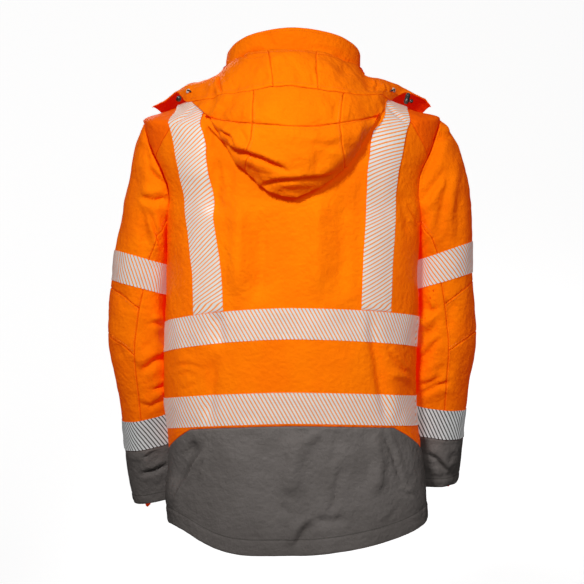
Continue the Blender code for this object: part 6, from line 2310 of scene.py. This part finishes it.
    def runs(self) -> list[Array]:
        """Stations of the left, middle and right pieces, with close lines at seams and darts."""
        low_seam, high_seam = self.seam_stations
        cuts = (self.left_end, low_seam, *self.dart_stations, high_seam, self.right_end)
        parts = [low + (high - low) * spread(length, HOOD_CELL) for low, high, length in
                 zip(cuts[:-1], cuts[1:], self.run_lengths)]
        return [parts[0], np.concatenate([parts[1], parts[2][1:], parts[3][1:]]), parts[4]]

    def build(self) -> None:
        """Every cloth piece of the hood, sharing seam lines and normals."""
        runs = self.runs()
        inner = np.concatenate([runs[0], runs[1][1:], runs[2][1:]])
        left = self.left_end * spread(self.wing_length, HOOD_CELL, high=False)[:-1]
        right = spread(self.wing_length, HOOD_CELL, low=False)[1:]
        right = self.right_end + (self.last_station - self.right_end) * right
        stations = np.concatenate([left, inner, right])
        brim = self.brim_point(*np.meshgrid(stations, spread(self.brim_length, HOOD_CELL)))
        band = self.band(inner, spread(self.band_length, HOOD_CELL))
        places = self.edge_places(inner)
        crown = self.crown(inner, spread(self.crown_length, HOOD_CELL), places)
        middle = slice(len(left), len(left) + len(inner))
        whole = np.concatenate([brim[:, middle], band[1:], crown[1:]])
        normals = grid_normals(whole)
        brim_normals = grid_normals(brim)
        brim_normals[:, middle] = normals[:len(brim)]
        self.sew_brim(stations, brim, brim_normals)
        band_rows = slice(len(brim) - 1, len(brim) + len(band) - 1)
        crown_rows = slice(band_rows.stop - 1, len(whole))
        self.sew_back(whole, normals, runs, {"hood_band_": band_rows, "hood_crown_": crown_rows})
        self.nape(inner, places)
        self.thread.build(ORANGE_THREAD)

    def sew_brim(self, stations: Array, points: Array, normals: Array) -> None:
        """The brim with its darts, casing and stitches.

        Args:
            stations: Its columns.
            points: Its grid.
            normals: The grid's normals.
        """
        brim = Panel("hood_brim", points, normals, self.relief, CASING, TOPSTITCHED, CASING, CASING)
        brim.darts = tuple(int(np.argmin(np.abs(stations - dart))) for dart in self.dart_stations)
        brim.sewn(ORANGE_CLOTH, rests_on=self.under)
        self.thread.run(brim.line("high"))
        casing_row = int(np.argmin(np.abs(brim.lengths(0)[:, len(stations) // 2] - CASING.hem)))
        self.thread.run((brim.faced()[0][casing_row], normals[casing_row]))

    def sew_back(self, points: Array, normals: Array, runs: list[Array], rows: dict[str, slice]) -> None:
        """The band's and the crown's three pieces, with their stitches.

        Args:
            points: The grid of brim, band and crown.
            normals: The grid's normals.
            runs: Stations of the left, middle and right pieces.
            rows: The grid's rows for each kind of piece.
        """
        counts = [len(run) for run in runs]
        starts = (0, counts[0] - 1, counts[0] + counts[1] - 2)
        edges = {"hood_band_": {}, "hood_crown_": {"low": TOPSTITCHED, "high": ROLLED}}
        for letter, start, count in zip("lcr", starts, counts):
            for name, part in rows.items():
                cut = part, slice(start, start + count)
                piece = Panel(name + letter, points[cut], normals[cut], self.relief, **edges[name])
                piece.sewn(ORANGE_CLOTH, rests_on=self.under)
                if letter == "c":
                    self.thread.run(piece.line("start"))
                    self.thread.run(piece.line("end"))
                if name == "hood_crown_":
                    self.thread.run(piece.line("low"))

    def nape(self, stations: Array, places: Array) -> None:
        """The nape piece, on the back from the neck seam to under the lower edge.

        Args:
            stations: Way along.
            places: The lower edge's turns and levels.
        """
        start = math.radians(self.nape_turn)
        ways = (stations - self.left_end) / (self.right_end - self.left_end)
        neck_turns = start + (math.pi - 2.0 * start) * ways
        shares = spread(self.nape_length, low=False, high=False)[:, None]
        turns = neck_turns + (places[:, 0] - neck_turns) * shares
        levels = self.nape_level + (places[:, 1] - self.nape_level) * shares
        normals = self.body.normal(turns, levels)
        points = self.body.point(turns, levels) + normals * self.nape_lift
        nape = Panel("hood_nape", points, normals, Relief(), FREE, FREE, FREE, FREE)
        nape.sewn(ORANGE_CLOTH, "laid", ("back_upper",))


def hood_relief() -> Relief:
    """Folds and darts of the hood."""
    ripples = (Ripple(0.050, 0.0030, 1.0), Ripple(0.022, 0.0022, 1.0), Ripple(0.011, 0.0009, 1.0))
    return Relief(HOOD_FOLDS, ripples, seed=29, strength=1.25, any_face=True)


# ------------------------------------------------------------------ zip and trims


@dataclass
class FrontZip:
    """The closed front zip: tapes, teeth, slider and pull tab."""

    body: Body
    collar: Collar
    tape_half: float = 0.0140
    tape_depth: float = 0.0022
    tape_cloth: float = 0.0008
    tape_rows: int = 180
    tape_columns: int = 15
    body_share: float = 0.90
    sink_start: float = 12.4
    sink_end: float = 13.4
    collar_sink: float = 0.0029
    chain_stop: float = 0.962
    length: float = 0.80
    tooth_pitch: float = 0.0028
    tooth_step: float = 0.0011
    tooth_wide: float = 0.0034
    tooth_deep: float = 0.0016
    tooth_tall: float = 0.0016
    tooth_sink: float = 0.0006
    tooth_ahead: float = 0.002
    tooth_rings: tuple[Row, ...] = ((0.0, 1.0), (0.7, 1.0), (1.0, 0.7))

    def place(self, share: Array, step: Array, depth: float) -> tuple[Array, Array]:
        """Points by the zip with their outward normals.

        Args:
            share: 0 at the hem and 1 at the collar's top.
            step: Distance to the wearer's left.
            depth: Distance behind the outer face.

        Returns:
            The points and the normals.
        """
        share, step = paired(share, step)
        middle = np.full(share.shape, 1.5 * math.pi)
        level = np.minimum(self.body.neck * share / self.body_share, self.body.neck)
        rise = np.clip((share - self.body_share) / (1.0 - self.body_share), 0.0, 1.0)
        low = self.body.point(middle + step / self.body.table.at("left", level), level)
        high = self.collar.point(middle + step / self.collar.top_front, rise)
        on_body = (share <= self.body_share)[..., None]
        normal = np.where(on_body, self.body.normal(middle, level),
                          surface_normals(self.collar.point, middle, rise))
        sink = np.clip((level - self.sink_start) / (self.sink_end - self.sink_start), 0.0, 1.0)
        return np.where(on_body, low, high) - normal * (depth + sink * self.collar_sink)[..., None], normal

    def build(self) -> None:
        """The tapes, the teeth and the finished metal."""
        steps = np.linspace(-self.tape_half, self.tape_half, self.tape_columns)
        share, step = np.meshgrid(np.linspace(0.0, 1.0, self.tape_rows), steps, indexing="ij")
        points, normals = self.place(share, step, self.tape_depth)
        tape = Panel("zip_tape", points, normals, Relief(), FREE, FREE, FREE, FREE,
                     thickness=self.tape_cloth)
        tape.sewn(BLACK_CLOTH, rests_on=("front_upper_l", "front_upper_r"))
        self.teeth()
        for name in ("zip_slider", "zip_pull"):
            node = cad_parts[name]
            node.data.materials.clear()
            node.data.materials.append(DARK_METAL.material())

    def teeth(self) -> None:
        """Moulded teeth, left and right in turn."""
        count = 2 * int(self.length * self.chain_stop / self.tooth_pitch)
        numbers = np.arange(count)
        share = self.chain_stop * (numbers + 0.5) / count
        side = np.where(numbers % 2, self.tooth_step, -self.tooth_step)
        depth = self.tape_depth - self.tooth_sink
        centre, normal = self.place(share, side, depth)
        up = unit(self.place(np.minimum(share + self.tooth_ahead, 1.0), side, depth)[0] - centre)
        across = np.cross(up, normal)
        corners = []
        for forward, taper in self.tooth_rings:
            for a, b in ((-1, -1), (1, -1), (1, 1), (-1, 1)):
                wide = across * a * 0.5 * self.tooth_wide * taper
                tall = up * b * 0.5 * self.tooth_tall * taper
                corners.append(centre + wide + tall + normal * forward * self.tooth_deep)
        chain = block_piece("zip_chain_teeth", corners, SMOOTH_TEETH)
        dress(chain, BLACK_MOULDED, "zip_chain")


@dataclass
class Trims:
    """Eyelets, cord locks and short cords on the hood's wings."""

    hood: Hood
    eyelet_station: float = 3.1
    eyelet_share: float = 0.84
    eyelet_lift: float = 0.0016
    eyelet_rings: tuple[Row, ...] = ((0.0000, 0.0019), (0.0011, 0.0019), (0.0017, 0.0024),
                                     (0.0015, 0.0032), (0.0004, 0.0042), (-0.0004, 0.0043),
                                     (-0.0006, 0.0030))
    lock_tops: dict[str, Row] = field(default_factory=lambda: {"l": (0.1864, 0.0520, -0.0186),
                                                               "r": (-0.1930, 0.0460, -0.0110)})
    lock_leans: dict[str, Row] = field(default_factory=lambda: {"l": (0.15, -1.0, -0.10),
                                                                "r": (0.27, 0.10, -1.0)})
    lock_rings: tuple[Row, ...] = ((0.0000, 0.0010), (0.0000, 0.0021), (0.0006, 0.0030), (0.0022, 0.0033),
                                   (0.0026, 0.0038), (0.0044, 0.0043), (0.0062, 0.0042), (0.0068, 0.0037),
                                   (0.0078, 0.0037), (0.0084, 0.0042), (0.0140, 0.0043), (0.0165, 0.0037),
                                   (0.0180, 0.0024))
    button_rings: tuple[Row, ...] = ((-0.0008, 0.0004), (-0.0009, 0.0013), (-0.0006, 0.0021),
                                     (0.0002, 0.0023))
    knob_centre: Row = (-0.1970, 0.0550, -0.0246)
    knob_rings: tuple[Row, ...] = ((-0.0034, 0.0006), (-0.0031, 0.0016), (-0.0019, 0.0029),
                                   (0.0000, 0.0034), (0.0019, 0.0029), (0.0027, 0.0020),
                                   (0.0028, 0.0014), (0.0024, 0.0009))
    cord_radius: float = 0.0012
    cord_path: tuple[Row, ...] = ((-0.0040, 0.0, 0.0), (0.0016, 0.0, 0.0), (0.0032, 0.0030, 0.0020),
                                  (0.0024, 0.0065, 0.0052), (0.0004, 0.0082, 0.0074))
    station_step: float = 0.05
    share_step: float = 0.03
    round: int = 28

    def turned(self, name: str, rings: tuple[Row, ...], base: Array, way: Array, finish: Finish,
               node: str = "", closed: bool = False) -> None:
        """A turned piece.

        Args:
            name: Its name.
            rings: Distance along and radius of each ring.
            base: Where distance 0 lies.
            way: Its axis, of any length.
            finish: Its finish.
            node: The model node that it stands for.
            closed: True where the last ring joins the first, as on a washer.
        """
        way = unit(np.array(way, dtype=float))
        helper = np.array([0.0, 0.0, 1.0]) if abs(way[2]) < 0.9 else np.array([1.0, 0.0, 0.0])
        first = unit(np.cross(way, helper))
        second = np.cross(way, first)
        angles = 2.0 * math.pi * np.arange(self.round) / self.round
        circle = np.outer(np.cos(angles), first) + np.outer(np.sin(angles), second)
        base = np.array(base)
        vertices = np.concatenate([base + way * along + circle * radius for along, radius in rings])
        count = len(rings)
        faces = []
        for ring in range(count if closed else count - 1):
            for index in range(self.round):
                after = (index + 1) % self.round
                low, high = ring * self.round, (ring + 1) % count * self.round
                faces.append((low + index, low + after, high + after, high + index))
        if not closed:
            faces.append(tuple(range(self.round))[::-1])
            faces.append(tuple(range((count - 1) * self.round, count * self.round)))
        dress(mesh_piece(name, vertices, faces, SMOOTH_TRIM), finish, node)

    def cord(self, name: str, places: Array) -> None:
        """A short black cord through some points.

        Args:
            name: Its name.
            places: The points of its middle line.
        """
        curve = bpy.data.curves.new(name, "CURVE")
        curve.dimensions = "3D"
        curve.bevel_depth = self.cord_radius
        curve.bevel_resolution = 3
        curve.resolution_u = 8
        spline = curve.splines.new("NURBS")
        spline.points.add(len(places) - 1)
        spline.use_endpoint_u = True
        spline.order_u = 3
        for knot, place in zip(spline.points, places):
            knot.co = (*place, 1.0)
        piece = bpy.data.objects.new(name, curve)
        bpy.context.scene.collection.objects.link(piece)
        dress(piece, BLACK_CORD)

    def build(self) -> None:
        """Both eyelets, both locks, the right knob and the cords between them."""
        for letter, side in SIDES.items():
            station = self.eyelet_station if side > 0 else self.hood.last_station - self.eyelet_station
            here = self.hood.brim_point(station, self.eyelet_share)
            ahead = self.hood.brim_point(station + self.station_step, self.eyelet_share)
            lower = self.hood.brim_point(station, self.eyelet_share + self.share_step)
            normal = unit(np.cross(ahead - here, lower - here))
            normal = normal if normal[1] > 0.0 else -normal
            centre = here + normal * self.eyelet_lift
            self.turned("eyelet_ring_" + letter, self.eyelet_rings, centre, normal, PALE_RIM,
                        "eyelet_" + letter, True)
            top, lean = self.lock_tops[letter], self.lock_leans[letter]
            self.turned("cord_lock_barrel_" + letter, self.lock_rings, top, lean, BLACK_MOULDED,
                        "cord_lock_" + letter)
            self.turned("cord_lock_button_" + letter, self.button_rings, top, lean,
                        GREY_MOULDED if side < 0 else BLACK_MOULDED)
            beside = unit(lower - here)
            inward = unit(np.array([-side, 0.0, 0.0]) - normal * (-side * normal[0]))
            path = np.array(self.cord_path) @ np.stack([normal, inward, beside])
            self.cord("cord_bit_" + letter, centre + path)
        self.turned("cord_knob_ball_r", self.knob_rings, self.knob_centre, (0.0, 1.0, 0.0), BLACK_MOULDED,
                    "cord_knob_r")


@dataclass
class CuffTrims:
    """The tab on one cuff and the end of the inner cuff below it."""

    sleeve: Sleeve
    tab_stations: tuple[float, float] = (14.15, 14.75)
    tab_starts: dict[str, float] = field(default_factory=lambda: {"l": -6.0, "r": 6.0})
    tab_end: float = -100.0
    tab_lift: float = 0.0006
    tab_straight: float = 0.90
    tab_taper: float = 0.75
    tab_grid: tuple[int, int] = (46, 11)
    tag_grid: int = 9
    last_step: float = 0.2
    tag_inset: float = 0.0050
    tag_top: float = 14.75
    tag_turns: dict[str, tuple[float, float]] = field(default_factory=lambda: {"l": (58.0, 72.0),
                                                                               "r": (42.0, 48.0)})
    tag_drops: dict[str, float] = field(default_factory=lambda: {"l": 0.0085, "r": 0.0045})
    tag_slopes: dict[str, float] = field(default_factory=lambda: {"l": 0.75, "r": 0.0})
    tag_peak: float = 0.35

    def strip(self, stem: str, turns: Array, stations: Array, lift: float, finish: Finish,
              relief: Relief) -> None:
        """A strip that follows the cuff.

        Args:
            stem: Its name and its node's, without cloth and the side's letter.
            turns: Its columns' turns, for each row.
            stations: Its rows' stations, for each column; beyond the cuff they run straight on.
            lift: Height over the cuff.
            finish: Its finish.
            relief: Its unevenness.
        """
        letter, last, step = self.sleeve.letter, self.sleeve.cuff, self.last_step
        points = self.sleeve.section(turns, np.minimum(stations, last))
        before = self.sleeve.section(turns, np.full(turns.shape, last - step))
        edge = self.sleeve.section(turns, np.full(turns.shape, last))
        points = points + (edge - before) * (np.maximum(stations - last, 0.0) / step)[..., None]
        normals = grid_normals(points) * self.sleeve.side
        strip = Panel(f"{stem}_cloth_{letter}", points, normals, relief, FREE, FREE, FREE, FREE,
                      lift=lift + CLOTH)
        strip.sewn(finish, "laid", ("sleeve_cuff_" + letter,), f"{stem}_{letter}")

    def build(self) -> None:
        """The tab with its rounded end, and the orange end."""
        letter = self.sleeve.letter
        columns, rows = self.tab_grid
        share, rise = np.meshgrid(np.linspace(0.0, 1.0, columns), np.linspace(-1.0, 1.0, rows))
        turns = np.radians(self.tab_starts[letter] + (self.tab_end - self.tab_starts[letter]) * share)
        round_end = np.clip((share - self.tab_straight) / (1.0 - self.tab_straight), 0.0, 1.0)
        low, high = self.tab_stations
        half = 0.5 * (high - low) * np.sqrt(1.0 - self.tab_taper * round_end ** 2)
        self.strip("cuff_tab", turns, 0.5 * (low + high) + half * rise, self.tab_lift, GREY_CLOTH,
                   Relief((), (Ripple(0.02, 0.0006),), seed=41))
        low, high = self.tag_turns[letter]
        share, rise = np.meshgrid(*[np.linspace(0.0, 1.0, self.tag_grid)] * 2)
        turns = np.radians(low + (high - low) * share)
        drop = self.tag_drops[letter] / self.sleeve.station_length
        shape = 1.0 - self.tag_slopes[letter] * np.abs(share - self.tag_peak)
        stations = self.tag_top + (self.sleeve.cuff + drop * shape - self.tag_top) * rise
        self.strip("cuff_tag", turns, stations, -self.tag_inset - CLOTH, DEEP_CLOTH,
                   Relief((), (Ripple(0.01, 0.0005),), seed=43))


# ------------------------------------------------------------------ studio


@dataclass(frozen=True)
class Lamp:
    """A soft lamp: its place in metres, size, spread in degrees and power in watts."""

    name: str
    place: Row
    wide: float
    tall: float
    spread: float
    power: float


@dataclass
class Studio:
    """Floor, soft light and the camera."""

    camera_distance: float = 3.3
    camera_height: float = -0.34
    focal_pixels: float = 1964.3
    picture: float = 584.0
    sensor: float = 36.0
    floor_level: float = -1.45
    floor_front: float = 6.0
    floor_half: float = 5.0
    bend_start: float = -1.6
    bend_radius: float = 1.2
    bend_steps: int = 12
    wall_top: float = 3.2
    floor_grey: float = 0.80
    floor_glow: float = 0.86
    sky_glow: float = 0.12
    aim: Row = (0.0, 0.0, -0.3)
    lamps: tuple[Lamp, ...] = (
        Lamp("key", (0.70, 2.7, 1.15), 0.40, 0.5, 28.0, 2.8),
        Lamp("fill", (-1.3, 2.7, 0.9), 0.8, 0.9, 60.0, 2.6),
        Lamp("front", (0.5, -2.3, 0.8), 1.2, 1.2, 70.0, 3.4),
    )

    def build(self) -> None:
        """The whole studio."""
        self.camera()
        self.sweep()
        self.lights()

    def camera(self) -> None:
        """A level camera behind the jacket, with plain colours."""
        bpy.context.scene.view_settings.view_transform = "Standard"
        data = bpy.data.cameras.new("camera")
        data.sensor_width = self.sensor
        data.lens = self.focal_pixels / self.picture * self.sensor
        camera = bpy.data.objects.new("camera", data)
        bpy.context.scene.collection.objects.link(camera)
        camera.location = (0.0, self.camera_distance, self.camera_height)
        camera.rotation_euler = (math.radians(90.0), 0.0, math.radians(180.0))
        bpy.context.scene.camera = camera

    def sweep(self) -> None:
        """A pale floor that curves up behind the jacket, as one sheet that is clear from its back."""
        start, radius, floor = self.bend_start, self.bend_radius, self.floor_level
        profile = [(self.floor_front, floor)]
        for angle in np.linspace(0.0, 0.5 * math.pi, self.bend_steps + 1):
            profile.append((start - radius * math.sin(angle), floor + radius * (1.0 - math.cos(angle))))
        profile.append((start - radius, self.wall_top))
        vertices = [(x, y, z) for x in (-self.floor_half, self.floor_half) for y, z in profile]
        count = len(profile)
        faces = [(k, k + 1, count + k + 1, count + k) for k in range(count - 1)]
        sweep = mesh_piece("floor", np.array(vertices), faces, SMOOTH_CLOTH)
        material = bpy.data.materials.new("pale floor")
        material.use_nodes = True
        graph = Graph(material.node_tree)
        shader = material.node_tree.nodes["Principled BSDF"]
        behind = graph.node("NewGeometry").outputs["Backfacing"]
        graph.feed(shader.inputs["Alpha"], graph.math("SUBTRACT", 1.0, behind))
        shader.inputs["Base Color"].default_value = (*[self.floor_grey] * 3, 1.0)
        shader.inputs["Roughness"].default_value = 0.9
        shader.inputs["Emission Color"].default_value = (1.0, 1.0, 1.0, 1.0)
        shader.inputs["Emission Strength"].default_value = self.floor_glow
        sweep.data.materials.append(material)
        sweep.visible_diffuse = False
        sweep.visible_glossy = False

    def lights(self) -> None:
        """A pale world, a key and a fill above the camera, and a light for the front."""
        world = bpy.data.worlds.new("studio")
        bpy.context.scene.world = world
        world.use_nodes = True
        sky = world.node_tree.nodes["Background"]
        sky.inputs["Color"].default_value = (1.0, 1.0, 1.0, 1.0)
        sky.inputs["Strength"].default_value = self.sky_glow
        world.cycles_visibility.glossy = False
        for row in self.lamps:
            data = bpy.data.lights.new(row.name, "AREA")
            data.shape = "RECTANGLE"
            data.energy = row.power
            data.size = row.wide
            data.size_y = row.tall
            data.spread = math.radians(row.spread)
            lamp = bpy.data.objects.new(row.name, data)
            bpy.context.scene.collection.objects.link(lamp)
            lamp.location = row.place
            away = np.array(row.place) - np.array(self.aim)
            lamp.rotation_euler = (math.acos(away[2] / np.linalg.norm(away)), 0.0,
                                   math.atan2(away[1], away[0]) + 0.5 * math.pi)


def main() -> None:
    """Build the jacket in order and report each piece."""
    logging.basicConfig(level=logging.INFO, format="%(message)s")
    Studio().build()
    body = Body()
    body.build_panels()
    body.build_yokes()
    body.build_tapes()
    braces = Braces(body)
    braces.build()
    for letter in SIDES:
        sleeve = Sleeve(body, letter)
        sleeve.build()
        CuffTrims(sleeve).build()
    collar = Collar(body)
    collar.build()
    hood = Hood(body, braces)
    hood.build()
    FrontZip(body, collar).build()
    Trims(hood).build()


if __name__ == "__main__":
    main()
